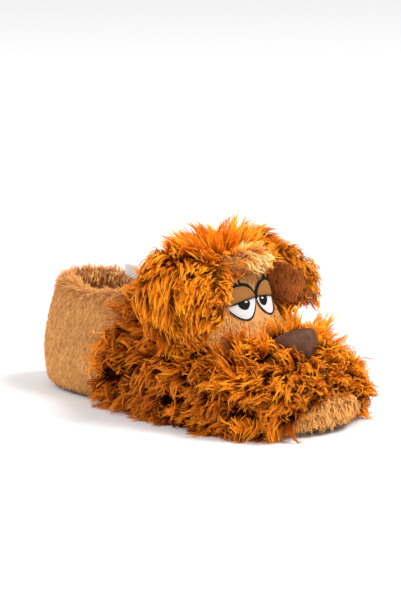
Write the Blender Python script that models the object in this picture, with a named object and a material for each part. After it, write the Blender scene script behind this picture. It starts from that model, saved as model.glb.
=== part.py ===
"""Plush dog house slipper, one right shoe, as a Blender model in metres with +Z up.

+X points to the toe and +Y to the wearer's left. The origin lies on the floor, under the middle of the sole.
"""

import math
import random

import bmesh
import bpy
import numpy as np
from mathutils import Vector
from mathutils.bvhtree import BVHTree

# Sole and last
SOLE_LENGTH = 0.270
BALL_WIDTH = 0.112
TOE_SWING = 0.005
SWING_START = 0.35
TOE_SPRING = 0.003
SPRING_START = 0.80
SOLE_THICKNESS = 0.005
SOLE_SETBACK = 0.002
SOLE_EDGE_ROUND = 0.0012
INSOLE_THICKNESS = 0.006
HEEL_HEIGHT = 0.085
INSTEP_HEIGHT = 0.097
WALL = 0.006
RIM_ROUND = 0.002

# Clearance between neighbouring pieces, and how far a piece reaches into its seat before it is trimmed
GAP = 0.0003
BITE = 0.003

# Head, measured over the tan pile
HEAD_LENGTH = 0.100
HEAD_WIDTH = 0.092
HEAD_TOP = 0.121
HEAD_BEHIND_THROAT = 0.001
BROW_THICKNESS = 0.015
EYE_WIDTH = 0.0262
EYE_HEIGHT = 0.026
EYE_THICKNESS = 0.0012
EYE_CENTRE_GAP = 0.0006
NOSE_WIDTH = 0.047
NOSE_HEIGHT = 0.028
NOSE_DEPTH = 0.013
EAR_LENGTH = 0.080
EAR_WIDTH = 0.060
EAR_PILE = 0.006
EAR_LINING = 0.004
LABEL_WIDTH = 0.012
LABEL_HEIGHT = 0.010
LABEL_THICKNESS = 0.001

# Long pile: backing thickness, extra stuffing and the length of its locks
SIDE_PILE = 0.006
MUZZLE_PILE = 0.0045
MUZZLE_STUFFING = 0.0045
CREST_PILE = 0.005
SIDE_LOCK = 0.017
MUZZLE_LOCK = 0.016
CREST_LOCK = 0.021
EAR_LOCK = 0.011
LOCK_FLOOR = 0.0025

# Shape of one lock: its waist's width, and how far waist and tip rise and lean over, as shares of its length
LOCK_WAIST_WIDTH = 0.60
LOCK_WAIST_RISE = 0.40
LOCK_WAIST_LEAN = 0.22
LOCK_TIP_RISE = 0.72
LOCK_TIP_LEAN = 0.70
EDGE_LEAN = 0.1
LOCK_SHORTEST = 0.75
LOCK_LONGEST = 1.10

# How the locks are combed on each piece, forward, out to the side and up, and how much each strays from that
SIDE_COMB = (-0.25, 0.25, -0.75)
SIDE_STRAY = 0.5
SIDE_AT_COLLAR = 0.35
MUZZLE_COMB = (0.0, 0.0, -0.25)
MUZZLE_STRAY = 0.4
CREST_FACING = (-0.1, 0.0, 0.7)
CREST_COMB = (-0.3, 0.0, 0.6)
CREST_LEAN = 0.6
CREST_STRAY = 0.5
EAR_FAN = 0.5
EAR_STRAY = 0.35
EAR_BARE_ROWS = 3

# Borders of the long pile: shares of SOLE_LENGTH from the middle of the sole, of HEEL_HEIGHT and of BALL_WIDTH
SEAM_AT_SOLE = -0.19
SEAM_AT_COLLAR = -0.10
CHEEK_AT_SOLE = 0.19
CHEEK_AT_COLLAR = 0.27
CHIN_START = 0.33
CHIN_HEIGHT = 0.36
CHIN_WIDTH = 0.86
STUFFING_MIDDLE = 0.33
STUFFING_LENGTH = 0.10
STUFFING_WIDTH = 0.42
STUFFING_FULL_HEIGHT = 0.35

# Ribs of the last from the back of the heel to the toe tip. Lengths are shares of SOLE_LENGTH and sides of half
# BALL_WIDTH. Rise is a share of the way from HEEL_HEIGHT to INSTEP_HEIGHT, and vamp blends both profiles.
RIBS = (
    # sole_along, sole_side, collar_along, collar_side, rise, vamp
    (0.000, 0.00, 0.056, 0.00, 0.00, 0.00),
    (0.030, 0.40, 0.072, 0.26, -0.02, 0.00),
    (0.110, 0.68, 0.128, 0.49, -0.15, 0.00),
    (0.240, 0.76, 0.215, 0.60, -0.35, 0.00),
    (0.380, 0.80, 0.300, 0.60, -0.20, 0.10),
    (0.520, 0.89, 0.372, 0.49, 0.25, 0.30),
    (0.660, 1.00, 0.415, 0.33, 0.70, 0.60),
    (0.790, 0.97, 0.432, 0.21, 0.88, 0.82),
    (0.900, 0.78, 0.440, 0.13, 0.96, 1.00),
    (0.970, 0.45, 0.444, 0.06, 1.00, 1.00),
    (1.000, 0.00, 0.445, 0.00, 1.00, 1.00),
)
# Side view of the wall at the heel and of the vamp at the toe, from the sole up to the collar.
PROFILES = (
    # wall_in, wall_up, vamp_in, vamp_up: shares of the way to the collar
    (0.00, 0.00, 0.000, 0.00),
    (-0.22, 0.15, -0.022, 0.12),
    (-0.28, 0.33, -0.008, 0.24),
    (-0.14, 0.53, 0.060, 0.335),
    (0.12, 0.73, 0.220, 0.42),
    (0.48, 0.90, 0.530, 0.615),
    (1.00, 1.00, 1.000, 1.00),
)
PER_SPAN = 2

# Levels of the head, from inside the vamp up to the crown, as shares of HEAD_LENGTH and half HEAD_WIDTH.
HEAD_LEVELS = (
    # up, back, front, half_width
    (0.00, 0.00, 1.00, 0.96),
    (0.16, 0.00, 0.86, 0.92),
    (0.34, 0.01, 0.76, 0.82),
    (0.54, 0.03, 0.725, 0.75),
    (0.74, 0.07, 0.70, 0.72),
    (0.89, 0.14, 0.67, 0.66),
    (0.98, 0.24, 0.60, 0.52),
    (1.00, 0.34, 0.50, 0.26),
    (1.005, 0.39, 0.45, 0.08),
)
HEAD_COLUMNS = 28
HEAD_SQUARENESS = 2.5
CREST_HALF_WIDTH = 0.018
CREST_PIVOT = 0.41
CREST_PIVOT_UP = 0.80
CREST_START = math.radians(168)
CREST_END = math.radians(64)
CREST_ROWS = 8
CREST_ACROSS = 5
BROW_LEVEL = 0.90
BROW_TURN = math.radians(48)
BROW_STANDS_OFF = 0.0015
BROW_END_TAPER = 0.85
BROW_FLATNESS = 0.85
BROW_STATIONS = 13
BROW_ROUND = 10
EYE_LEVEL = 0.735
EYE_ROUND = 18
EYE_NARROWING = 0.16
EYE_EDGE = 0.7
NOSE_ALONG = 0.347
NOSE_FACING = (0.79, 0.0, 0.61)
NOSE_ROUND = 18
NOSE_ROUNDNESS = 0.30
NOSE_CORNER_REACH = 0.60
NOSE_APEX_REACH = 0.68
NOSE_BARE_ACROSS = 0.66
NOSE_BARE_ALONG = 0.80
MUZZLE_TUCK = 0.012
LABEL_ALONG = -0.285

# Loops of an eye patch and of the nose, from the seat outwards.
EYE_STEPS = (
    # size, height over the face
    (1.00, -EYE_THICKNESS),
    (1.00, EYE_EDGE * EYE_THICKNESS),
    (0.88, EYE_THICKNESS),
    (0.45, EYE_THICKNESS),
)
NOSE_STEPS = (
    # size, depth as a share of NOSE_DEPTH
    (0.92, -0.35),
    (1.00, 0.05),
    (1.00, 0.30),
    (0.88, 0.62),
    (0.62, 0.87),
    (0.28, 0.98),
)

# The ear's middle line from its root on the head, as shares of EAR_LENGTH, and its width, of EAR_WIDTH.
EAR_LINE = (
    # forward, out, up, width
    (0.00, -0.12, -0.06, 0.30),
    (0.05, 0.12, 0.05, 0.60),
    (0.12, 0.25, 0.00, 0.92),
    (0.21, 0.32, -0.15, 1.04),
    (0.29, 0.34, -0.32, 0.98),
    (0.36, 0.33, -0.47, 0.62),
)
# How much further forward the tip of each ear hangs: the right ear, side -1, swings towards its eye.
EAR_SWING = {-1.0: 0.14, 1.0: 0.0}
EAR_ACROSS = 5
EAR_TILT = 0.38
EAR_LEVEL = 0.90
EAR_TURN = math.radians(100)
EAR_DROOP = 0.10
EAR_EDGE_THINNING = 0.55

# Colour of each finish, linear, and how rough it is
FINISHES = {
    "rust_pile": ((0.66, 0.22, 0.018, 1.0), 0.90),
    "tan_pile": ((0.60, 0.33, 0.13, 1.0), 0.95),
    "nose_velour": ((0.070, 0.027, 0.018, 1.0), 0.55),
    "embroidery": ((0.80, 0.78, 0.76, 1.0), 0.60),
    "sole": ((0.12, 0.06, 0.03, 1.0), 0.90),
    "insole": ((0.50, 0.28, 0.12, 1.0), 0.90),
    "label": ((0.85, 0.85, 0.83, 1.0), 0.80),
}
SHARP_EDGE = math.radians(50)

dice = random.Random(11)


def smooth_row(rows, place):
    """The row of a table at a fractional place, on a Catmull-Rom curve through its rows."""
    start = min(int(math.floor(place)), len(rows) - 2)
    t = place - start
    near = [rows[min(max(start + step, 0), len(rows) - 1)] for step in (-1, 0, 1, 2)]
    a, b, c, d = (np.array(row, float) for row in near)
    return 0.5 * (2 * b + (c - a) * t + (2 * a - 5 * b + 4 * c - d) * t**2 + (3 * b - a - 3 * c + d) * t**3)


def unit(v):
    return v / max(np.linalg.norm(v), 1e-12)


def sole_spring(x):
    """How far the sole curls up from the floor at x."""
    share = x / SOLE_LENGTH + 0.5
    return TOE_SPRING * max(0.0, (share - SPRING_START) / (1 - SPRING_START)) ** 2


def last_columns():
    """The ribs all round the last, from the heel along the right side to the toe and back along the left."""
    right = [smooth_row(RIBS, i / PER_SPAN) for i in range((len(RIBS) - 1) * PER_SPAN + 1)]
    sides = [(row, -1.0) for row in right] + [(row, 1.0) for row in right[-2:0:-1]]
    columns = []
    for (sole_along, sole_side, collar_along, collar_side, rise, vamp), side in sides:
        swing = TOE_SWING * (max(0.0, sole_along - SWING_START) / (1 - SWING_START)) ** 2
        foot = np.array([
            (sole_along - 0.5) * SOLE_LENGTH,
            side * sole_side * BALL_WIDTH / 2 + swing,
            0.0,
        ])
        foot[2] = SOLE_THICKNESS + GAP + sole_spring(foot[0])
        collar = np.array([
            (collar_along - 0.5) * SOLE_LENGTH,
            side * collar_side * BALL_WIDTH / 2,
            HEEL_HEIGHT + rise * (INSTEP_HEIGHT - HEEL_HEIGHT),
        ])
        columns.append((foot, collar, min(max(vamp, 0.0), 1.0)))
    return columns


def last_points():
    """The upper's outer surface, in rows from the sole to the collar by columns round the last."""
    columns = last_columns()
    rows = (len(PROFILES) - 1) * PER_SPAN + 1
    points = np.zeros((rows, len(columns), 3))
    for j in range(rows):
        wall_in, wall_up, vamp_in, vamp_up = smooth_row(PROFILES, j / PER_SPAN)
        for k, (foot, collar, vamp) in enumerate(columns):
            inward = wall_in + (vamp_in - wall_in) * vamp
            up = wall_up + (vamp_up - wall_up) * vamp
            way = collar - foot
            points[j, k] = foot + np.array([way[0] * inward, way[1] * inward, way[2] * up])
    return points


class Lattice:
    """Points in rows and columns on a curved surface, with outward normals. Its rows may be closed loops."""

    def __init__(self, points, closed, flat_foot=False):
        self.points = points
        self.rows, self.columns = points.shape[:2]
        self.closed = closed
        if closed:
            along = np.roll(points, -1, axis=1) - np.roll(points, 1, axis=1)
        else:
            along = np.gradient(points, axis=1)
        normals = np.cross(along, np.gradient(points, axis=0))
        if flat_foot:
            normals[0, :, 2] = 0.0
        self.normals = normals / np.linalg.norm(normals, axis=2)[:, :, None]
        self.spans = self.columns if closed else self.columns - 1

    def layer(self, offset):
        return self.points + self.normals * offset

    def corners(self, j, k):
        """A cell's corners in order: bottom edge first, then up its far side and back."""
        far = (k + 1) % self.columns
        return ((j, k), (j, far), (j + 1, far), (j + 1, k))

    def centre(self, j, k):
        return np.mean([self.points[c] for c in self.corners(j, k)], axis=0)

    def facing(self, j, k):
        return unit(np.mean([self.normals[c] for c in self.corners(j, k)], axis=0))

    def choose(self, rule):
        """The cells that a rule picks by their row, column and centre."""
        picked = [[rule(j, k, self.centre(j, k)) for k in range(self.spans)] for j in range(self.rows - 1)]
        return np.array(picked, bool)

    def has(self, chosen, j, k):
        if self.closed:
            k %= self.columns
        return 0 <= j < self.rows - 1 and 0 <= k < self.spans and chosen[j, k]

    def cells_round(self, j, k):
        """How many cells of the whole lattice meet at a corner."""
        above_and_below = 2 - (j in (0, self.rows - 1))
        beside = 2 if self.closed else 2 - (k in (0, self.columns - 1))
        return above_and_below * beside


LAST = Lattice(last_points(), closed=True, flat_foot=True)


def material(name):
    colour, roughness = FINISHES[name]
    made = bpy.data.materials.get(name) or bpy.data.materials.new(name)
    made.use_nodes = True
    shader = made.node_tree.nodes["Principled BSDF"]
    shader.inputs["Base Color"].default_value = colour
    shader.inputs["Roughness"].default_value = roughness
    shader.inputs["Metallic"].default_value = 0.0
    made.diffuse_color = colour
    return made


def make_object(name, vertices, faces, finish):
    mesh = bpy.data.meshes.new(name)
    mesh.from_pydata([tuple(v) for v in vertices], [], [tuple(f) for f in faces])
    shaped = bmesh.new()
    shaped.from_mesh(mesh)
    bmesh.ops.remove_doubles(shaped, verts=shaped.verts, dist=1e-6)
    bmesh.ops.recalc_face_normals(shaped, faces=shaped.faces)
    bmesh.ops.triangulate(shaped, faces=shaped.faces)
    shaped.to_mesh(mesh)
    shaped.free()
    mesh.shade_smooth()
    mesh.set_sharp_from_angle(angle=SHARP_EDGE)
    piece = bpy.data.objects.new(name, mesh)
    bpy.context.scene.collection.objects.link(piece)
    mesh.materials.append(finish)
    return piece


def as_cutter(piece):
    """A guide shape that trims its neighbours and isn't part of the slipper."""
    piece.hide_render = True
    piece.display_type = "WIRE"
    return piece


def trim(piece, *cutters):
    for cutter in cutters:
        cut = piece.modifiers.new("Trim", "BOOLEAN")
        cut.operation = "DIFFERENCE"
        cut.solver = "EXACT"
        cut.object = cutter
    return piece


def loop_faces(lower, upper):
    """Quads between two closed loops of vertex numbers."""
    count = len(lower)
    return [(lower[k], lower[(k + 1) % count], upper[(k + 1) % count], upper[k]) for k in range(count)]


def stacked_solid(name, loops, finish):
    """A closed solid through stacked loops of equal length, with its ends filled from their middles."""
    count = len(loops[0])
    vertices = [p for loop in loops for p in loop]
    numbers = [[i * count + k for k in range(count)] for i in range(len(loops))]
    faces = []
    for lower, upper in zip(numbers, numbers[1:]):
        faces += loop_faces(lower, upper)
    for end in (0, -1):
        vertices.append(np.mean(loops[end], axis=0))
        middle = len(vertices) - 1
        ring = numbers[end]
        faces += [(ring[k], ring[(k + 1) % count], middle) for k in range(count)]
    return make_object(name, vertices, faces, finish)


def inset_loop(loop, distance):
    """A flat loop moved inwards, each point along its own horizontal normal."""
    along = np.roll(loop, -1, axis=0) - np.roll(loop, 1, axis=0)
    inward = np.stack([-along[:, 1], along[:, 0], np.zeros(len(loop))], axis=1)
    inward /= np.linalg.norm(inward, axis=1)[:, None]
    return loop + inward * distance


def slab_faces(loops):
    """Faces of a sole-like slab: side walls between the loops, and strips from side to side at both ends."""
    count = len(loops[0])
    numbers = [[i * count + k for k in range(count)] for i in range(len(loops))]
    faces = []
    for lower, upper in zip(numbers, numbers[1:]):
        faces += loop_faces(lower, upper)
    for ring in (numbers[0], numbers[-1]):
        for k in range(count // 2):
            corners = [ring[k], ring[k + 1], ring[(count - k - 1) % count], ring[(count - k) % count]]
            faces.append(tuple(dict.fromkeys(corners)))
    return faces


def sole_slab(name, outline, low, high, rounding, finish):
    """A slab that follows the sole's outline and toe spring, between two heights."""
    loops = []
    for inset, height in ((rounding, low), (0.0, low + rounding), (0.0, high - rounding), (rounding, high)):
        loop = inset_loop(outline, inset)
        loop[:, 2] = [height + sole_spring(p[0]) for p in loop]
        loops.append(loop)
    return make_object(name, np.concatenate(loops), slab_faces(loops), finish)


def make_sole():
    outline = inset_loop(LAST.points[0], SOLE_SETBACK)
    return sole_slab("outsole", outline, 0.0, SOLE_THICKNESS, SOLE_EDGE_ROUND, material("sole"))


def make_insole():
    outline = inset_loop(LAST.points[0], WALL + 3 * GAP)
    low = SOLE_THICKNESS + GAP
    return sole_slab("insole", outline, low, low + INSOLE_THICKNESS, SOLE_EDGE_ROUND, material("insole"))


def make_upper():
    """The padded shell: one wall of even thickness with a rounded rim, open at the collar and underneath."""
    rows, columns = LAST.rows, LAST.columns
    outer, inner = LAST.points, LAST.layer(-WALL)
    inner[0, :, 2] = outer[0, :, 2]
    rim = LAST.layer(-WALL / 2)[-1]
    rim += np.array([unit(p - q) for p, q in zip(outer[-1], outer[-2])]) * RIM_ROUND
    vertices = np.concatenate([outer.reshape(-1, 3), inner.reshape(-1, 3), rim])

    def ring(layer, j):
        return [(layer * rows + j) * columns + k for k in range(columns)]

    faces = []
    for layer in (0, 1):
        for j in range(rows - 1):
            faces += loop_faces(ring(layer, j), ring(layer, j + 1))
    faces += loop_faces(ring(0, 0), ring(1, 0))
    faces += loop_faces(ring(0, rows - 1), ring(2, 0))
    faces += loop_faces(ring(1, rows - 1), ring(2, 0))
    return make_object("upper", vertices, faces, material("tan_pile"))


def last_cutter():
    """The space that the upper takes, one clearance larger, to trim what is seated on it."""
    return as_cutter(stacked_solid("space_of_upper", list(LAST.layer(GAP)), None))


def tree_of(piece):
    """A search tree of a piece's own mesh, for seating points on it."""
    return BVHTree.FromPolygons([v.co for v in piece.data.vertices], [p.vertices for p in piece.data.polygons])


def vamp_height(surface, x, y):
    """The height of the upper's outer surface above a point of the plan."""
    hit = surface.ray_cast(Vector((x, y, 2 * HEAD_TOP)), Vector((0.0, 0.0, -1.0)))[0]
    return hit.z if hit is not None else SOLE_THICKNESS


def head_start():
    """The back of the head's foot, just behind the throat of the upper."""
    return LAST.points[-1, LAST.columns // 2, 0] - HEAD_BEHIND_THROAT


def head_point(surface, up, angle, grow=0.0):
    """A point on the head at a share of its height and an angle round it, from 0 at the face."""
    _, back, front, half = smooth_row(HEAD_LEVELS, level_place(up))
    middle = head_start() + (back + front) / 2 * HEAD_LENGTH
    reach = (front - back) / 2 * HEAD_LENGTH + grow
    side = half * HEAD_WIDTH / 2 + grow
    power = 2.0 / HEAD_SQUARENESS
    c, s = math.cos(angle), math.sin(angle)
    x = middle + reach * math.copysign(abs(c) ** power, c)
    y = side * math.copysign(abs(s) ** power, s)
    base = vamp_height(surface, x, y)
    z = base + (HEAD_TOP + grow - base) * up
    return np.array([x, y, z])


def level_place(up):
    """The fractional row of HEAD_LEVELS that stands at this share of the height."""
    heights = [row[0] for row in HEAD_LEVELS]
    return float(np.interp(up, heights, range(len(heights))))


def head_lattice(surface):
    """The head's own surface, from its foot on the vamp up to the rounded crown."""
    angles = [2 * math.pi * k / HEAD_COLUMNS for k in range(HEAD_COLUMNS)]
    loops = [[head_point(surface, row[0], angle) for angle in angles] for row in HEAD_LEVELS]
    return Lattice(np.array(loops), closed=True)


def head_solid(lattice, name, finish, grow=0.0):
    loops = list(lattice.layer(grow))
    sunk = loops[0].copy()
    sunk[:, 2] -= 2 * BITE
    return stacked_solid(name, [sunk] + loops, finish)


def lattice_patch(name, lattice, chosen, finish, low, high, lock=None, swell=0.0):
    """A closed solid over the chosen cells of a lattice: backing, edge walls, and locks pulled out of its cells.

    low and high give its skins' offsets at a row and column, and lock gives a tuft's facing, lean and length.
    """
    cells = [(j, k) for j in range(lattice.rows - 1) for k in range(lattice.spans) if chosen[j, k]]
    meeting = {}
    for j, k in cells:
        for corner in lattice.corners(j, k):
            meeting.setdefault(corner, []).append(lattice.centre(j, k))
    vertices, numbers = [], {}
    for (j, k), centres in meeting.items():
        point, normal = lattice.points[j, k], lattice.normals[j, k]
        step = np.zeros(3)
        if len(centres) < lattice.cells_round(j, k):
            step = unit(np.mean(centres, axis=0) - point) * (GAP - swell)
            step[2] = 0.0 if j == 0 else step[2]
        numbers[j, k] = len(vertices)
        vertices.append(point + normal * low(j, k) + step)
        vertices.append(point + normal * high(j, k) + step)
    faces = []
    for j, k in cells:
        ring = [numbers[c] for c in lattice.corners(j, k)]
        faces.append(ring[::-1])
        top = [n + 1 for n in ring]
        tuft = lock(j, k) if lock else None
        if tuft is None:
            faces.append(top)
        else:
            facing, lean, length = tuft
            if any(not lattice.has(chosen, n, k + step) for step in (-1, 1) for n in (max(j - 1, 0), j)):
                lean = lean * EDGE_LEAN
            faces += lock_faces(vertices, top, facing, lean, length)
        for side, (dj, dk) in enumerate(((-1, 0), (0, 1), (1, 0), (0, -1))):
            if not lattice.has(chosen, j + dj, k + dk):
                a, b = ring[side], ring[(side + 1) % 4]
                faces.append((a, b, b + 1, a + 1))
    return make_object(name, vertices, faces, finish)


def lock_faces(vertices, top, facing, lean, length):
    """A pointed tuft of pile standing on the corners in top. The vertices grow by its waist and its tip."""
    corners = [vertices[n] for n in top]
    centre = np.mean(corners, axis=0)
    waist = []
    for corner in corners:
        point = centre + (corner - centre) * LOCK_WAIST_WIDTH
        point += (facing * LOCK_WAIST_RISE + lean * LOCK_WAIST_LEAN) * length
        point[2] = max(point[2], LOCK_FLOOR)
        waist.append(len(vertices))
        vertices.append(point)
    tip = centre + (facing * LOCK_TIP_RISE + lean * LOCK_TIP_LEAN) * length
    tip[2] = max(tip[2], LOCK_FLOOR)
    vertices.append(tip)
    end = len(vertices) - 1
    faces = loop_faces(list(top), waist)
    faces += [(waist[i], waist[(i + 1) % 4], end) for i in range(4)]
    return faces


def scatter():
    return np.array([dice.uniform(-1, 1) for _ in range(3)])


def uneven(length):
    return length * dice.uniform(LOCK_SHORTEST, LOCK_LONGEST)


def along_surface(way, facing):
    """A direction laid flat on the surface that faces the given way."""
    return unit(way - facing * np.dot(way, facing))


def seam_x(z):
    """Where the short pile of the heel meets the long pile of the side, sloping forward towards the collar."""
    return SOLE_LENGTH * (SEAM_AT_SOLE + (SEAM_AT_COLLAR - SEAM_AT_SOLE) * (z / HEEL_HEIGHT) ** 2)


def cheek_x(z):
    """Where the side's long pile meets the muzzle's."""
    return SOLE_LENGTH * (CHEEK_AT_SOLE + (CHEEK_AT_COLLAR - CHEEK_AT_SOLE) * z / HEEL_HEIGHT)


def on_chin(point):
    """True over the short tan pile at the front of the toe."""
    arch = CHIN_HEIGHT * HEEL_HEIGHT * (1.0 - (2.0 * point[1] / (CHIN_WIDTH * BALL_WIDTH)) ** 2)
    return point[0] > CHIN_START * SOLE_LENGTH and point[2] < arch


def under_head(point, margin):
    """True where the head's foot covers the upper."""
    along = abs(point[0] - head_start() - HEAD_LENGTH / 2) / (HEAD_LENGTH / 2 + margin)
    across = abs(point[1]) / (HEAD_WIDTH / 2 + margin)
    return along**HEAD_SQUARENESS + across**HEAD_SQUARENESS < 1.0


def make_side_pile(side, name, finish):
    """The long pile of one side, from the heel's seam to the muzzle."""
    columns = LAST.columns // 2

    def covers(j, k, centre):
        between = seam_x(centre[2]) < centre[0] < cheek_x(centre[2])
        return (k < columns) == (side < 0) and between and j < LAST.rows - 2 and not under_head(centre, BITE)

    def lock(j, k):
        centre = LAST.centre(j, k)
        if j > LAST.rows - 4:
            return None
        forward, out, up = SIDE_COMB
        hanging = np.array([forward, out * side, up])
        lean = along_surface(hanging + SIDE_STRAY * scatter(), LAST.facing(j, k))
        below_collar = max(0.0, HEEL_HEIGHT - centre[2]) / HEEL_HEIGHT
        return LAST.facing(j, k), lean, uneven(SIDE_LOCK * min(1.0, SIDE_AT_COLLAR + 2 * below_collar))

    chosen = LAST.choose(covers)
    return lattice_patch(name, LAST, chosen, finish, lambda j, k: GAP, lambda j, k: GAP + SIDE_PILE, lock)


def stuffing(j, k):
    """Thickness of the muzzle over the upper: fullest under the nose."""
    point = LAST.points[j, k]
    along = (point[0] - STUFFING_MIDDLE * SOLE_LENGTH) / (STUFFING_LENGTH * SOLE_LENGTH)
    across = point[1] / (STUFFING_WIDTH * BALL_WIDTH)
    rise = min(1.0, point[2] / (STUFFING_FULL_HEIGHT * HEEL_HEIGHT))
    return MUZZLE_PILE + MUZZLE_STUFFING * rise * math.exp(-(along**2) - across**2)


def nose_seat():
    """The middle of the nose's seat on the ridge of the muzzle."""
    column = LAST.columns // 2
    rows = range(LAST.rows - 1, LAST.rows // 3, -1)
    ridge = np.array([LAST.points[j, column] + LAST.normals[j, column] * (GAP + stuffing(j, column)) for j in rows])
    return np.array([np.interp(NOSE_ALONG * SOLE_LENGTH, ridge[:, 0], ridge[:, i]) for i in range(3)])


def make_muzzle(head_space, finish):
    """The stuffed muzzle in long pile over the toe. Returns the space it takes, for what sits on it."""
    seat = nose_seat()

    def covers(j, k, centre):
        tucked_under = under_head(centre, -MUZZLE_TUCK)
        return centre[0] >= cheek_x(centre[2]) and not on_chin(centre) and not tucked_under

    def lock(j, k):
        away = LAST.centre(j, k) + LAST.facing(j, k) * stuffing(j, k) - seat
        by_nose = abs(away[1]) < NOSE_BARE_ACROSS * NOSE_WIDTH and away[0] < NOSE_BARE_ALONG * NOSE_HEIGHT
        if by_nose or under_head(LAST.centre(j, k), BITE):
            return None
        lean = along_surface(unit(away) + MUZZLE_COMB + MUZZLE_STRAY * scatter(), LAST.facing(j, k))
        return LAST.facing(j, k), lean, uneven(MUZZLE_LOCK)

    def outside(j, k):
        return GAP + stuffing(j, k)

    def clear_of_it(j, k):
        return 2 * GAP + stuffing(j, k)

    chosen = LAST.choose(covers)
    muzzle = lattice_patch("muzzle", LAST, chosen, finish, lambda j, k: GAP, outside, lock)
    trim(muzzle, head_space)
    space = lattice_patch("space_of_muzzle", LAST, chosen, None, lambda j, k: -BITE, clear_of_it, None, GAP)
    return as_cutter(space)


def crest_lattice(skin):
    """The strip of the head that carries the crest, in rows from the nape over the crown to the brow."""
    middle = np.array([head_start() + CREST_PIVOT * HEAD_LENGTH, 0.0, CREST_PIVOT_UP * HEAD_TOP])
    points = np.zeros((CREST_ROWS + 1, CREST_ACROSS + 1, 3))
    for i in range(CREST_ROWS + 1):
        turn = CREST_START + (CREST_END - CREST_START) * i / CREST_ROWS
        way = Vector((math.cos(turn), 0.0, math.sin(turn)))
        for k in range(CREST_ACROSS + 1):
            across = np.array([0.0, CREST_HALF_WIDTH * (1 - 2 * k / CREST_ACROSS), 0.0])
            points[i, k] = skin.ray_cast(Vector(middle + across), way)[0]
    return Lattice(points, closed=False)


def make_crest(skin, head_space, upper_space, finish):
    """The shock of long pile over the crown and down the back of the head, behind the brow."""
    strip = crest_lattice(skin)

    def lock(j, k):
        upright = unit(strip.facing(j, k) + CREST_FACING)
        backwards = unit(CREST_COMB + CREST_STRAY * scatter())
        return upright, backwards * CREST_LEAN, uneven(CREST_LOCK)

    whole = strip.choose(lambda j, k, centre: True)
    crest = lattice_patch("crest", strip, whole, finish, lambda j, k: -BITE, lambda j, k: CREST_PILE, lock)
    return trim(crest, head_space, upper_space)


def make_brow(surface, head_space, finish):
    """The padded ridge of short pile across the top of the face."""
    places = np.linspace(-1.0, 1.0, BROW_STATIONS)
    middle = np.array([head_point(surface, BROW_LEVEL, place * BROW_TURN, BROW_STANDS_OFF) for place in places])
    loops = []
    for place, point, way in zip(places, middle, np.gradient(middle, axis=0)):
        radius = BROW_THICKNESS / 2 * math.sqrt(1.0 - BROW_END_TAPER * place**6)
        out = unit(np.cross(way, (0.0, 0.0, 1.0)))
        up = unit(np.cross(out, way))
        angles = [2 * math.pi * k / BROW_ROUND for k in range(BROW_ROUND)]
        loops.append([point + radius * (BROW_FLATNESS * math.cos(a) * out + math.sin(a) * up) for a in angles])
    return trim(stacked_solid("brow", np.array(loops), finish), head_space)


def make_eye(side, name, head_space, face, finish):
    """One embroidered eye: a thin patch that lies on the face, egg-shaped with its narrow end down."""
    centre_y = side * (EYE_WIDTH / 2 + EYE_CENTRE_GAP / 2)
    centre_z = EYE_LEVEL * HEAD_TOP
    loops = []
    for share, height in EYE_STEPS:
        loop = []
        for k in range(EYE_ROUND):
            angle = 2 * math.pi * k / EYE_ROUND
            narrow = 1.0 - EYE_NARROWING * max(0.0, -math.sin(angle))
            y = centre_y + share * narrow * EYE_WIDTH / 2 * math.cos(angle)
            z = centre_z + share * EYE_HEIGHT / 2 * math.sin(angle)
            hit, normal = face.ray_cast(Vector((HEAD_TOP, y, z)), Vector((-1.0, 0.0, 0.0)))[:2]
            loop.append(np.array(hit) + np.array(normal) * height)
        loops.append(loop)
    return trim(stacked_solid(name, np.array(loops), finish), head_space)


def make_nose(muzzle_space, upper_space, finish):
    """The stuffed nose: a soft triangle, broad at the top, that leans forward off the muzzle."""
    facing = unit(np.array(NOSE_FACING))
    up = np.array([-facing[2], 0.0, facing[0]])
    seat = nose_seat()
    loops = []
    for size, depth in NOSE_STEPS:
        loop = []
        for k in range(NOSE_ROUND):
            angle = 2 * math.pi * k / NOSE_ROUND - math.pi / 2
            from_side = (angle + math.pi / 2) % (2 * math.pi / 3) - math.pi / 3
            reach = size * (NOSE_ROUNDNESS + (1 - NOSE_ROUNDNESS) * 0.5 / math.cos(from_side))
            y = reach * math.cos(angle) * NOSE_WIDTH * NOSE_CORNER_REACH
            rise = reach * math.sin(angle) * NOSE_HEIGHT * NOSE_APEX_REACH
            loop.append(seat + np.array([0.0, y, 0.0]) + up * rise + facing * depth * NOSE_DEPTH)
        loops.append(loop)
    return trim(stacked_solid("nose", np.array(loops), finish), muzzle_space, upper_space)


def ear_lattice(side, surface):
    """The middle surface of an ear, from its root on the side of the crown out, forward and down to its tip."""
    root = head_point(surface, EAR_LEVEL, side * EAR_TURN)
    middle, widths = [], []
    steps = (len(EAR_LINE) - 1) * PER_SPAN
    for i in range(steps + 1):
        forward, out, up, width = smooth_row(EAR_LINE, i / PER_SPAN)
        swing = EAR_SWING[side] * (i / steps) ** 2
        middle.append(root + EAR_LENGTH * np.array([forward + swing, side * out, up]))
        widths.append(width * EAR_WIDTH / 2)
    middle = np.array(middle)
    ways = np.gradient(middle, axis=0)
    across = unit(np.array([math.cos(EAR_TILT), 0.0, -math.sin(EAR_TILT)]))
    points = np.zeros((len(middle), EAR_ACROSS + 1, 3))
    for i, (point, way, width) in enumerate(zip(middle, ways, widths)):
        beside = unit(across - unit(way) * np.dot(across, unit(way)))
        for k in range(EAR_ACROSS + 1):
            place = 2 * k / EAR_ACROSS - 1
            droop = np.array([0.0, 0.0, -EAR_DROOP * EAR_WIDTH * place**2])
            points[i, k] = point + beside * width * place * side + droop
    return Lattice(points, closed=False)


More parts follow.
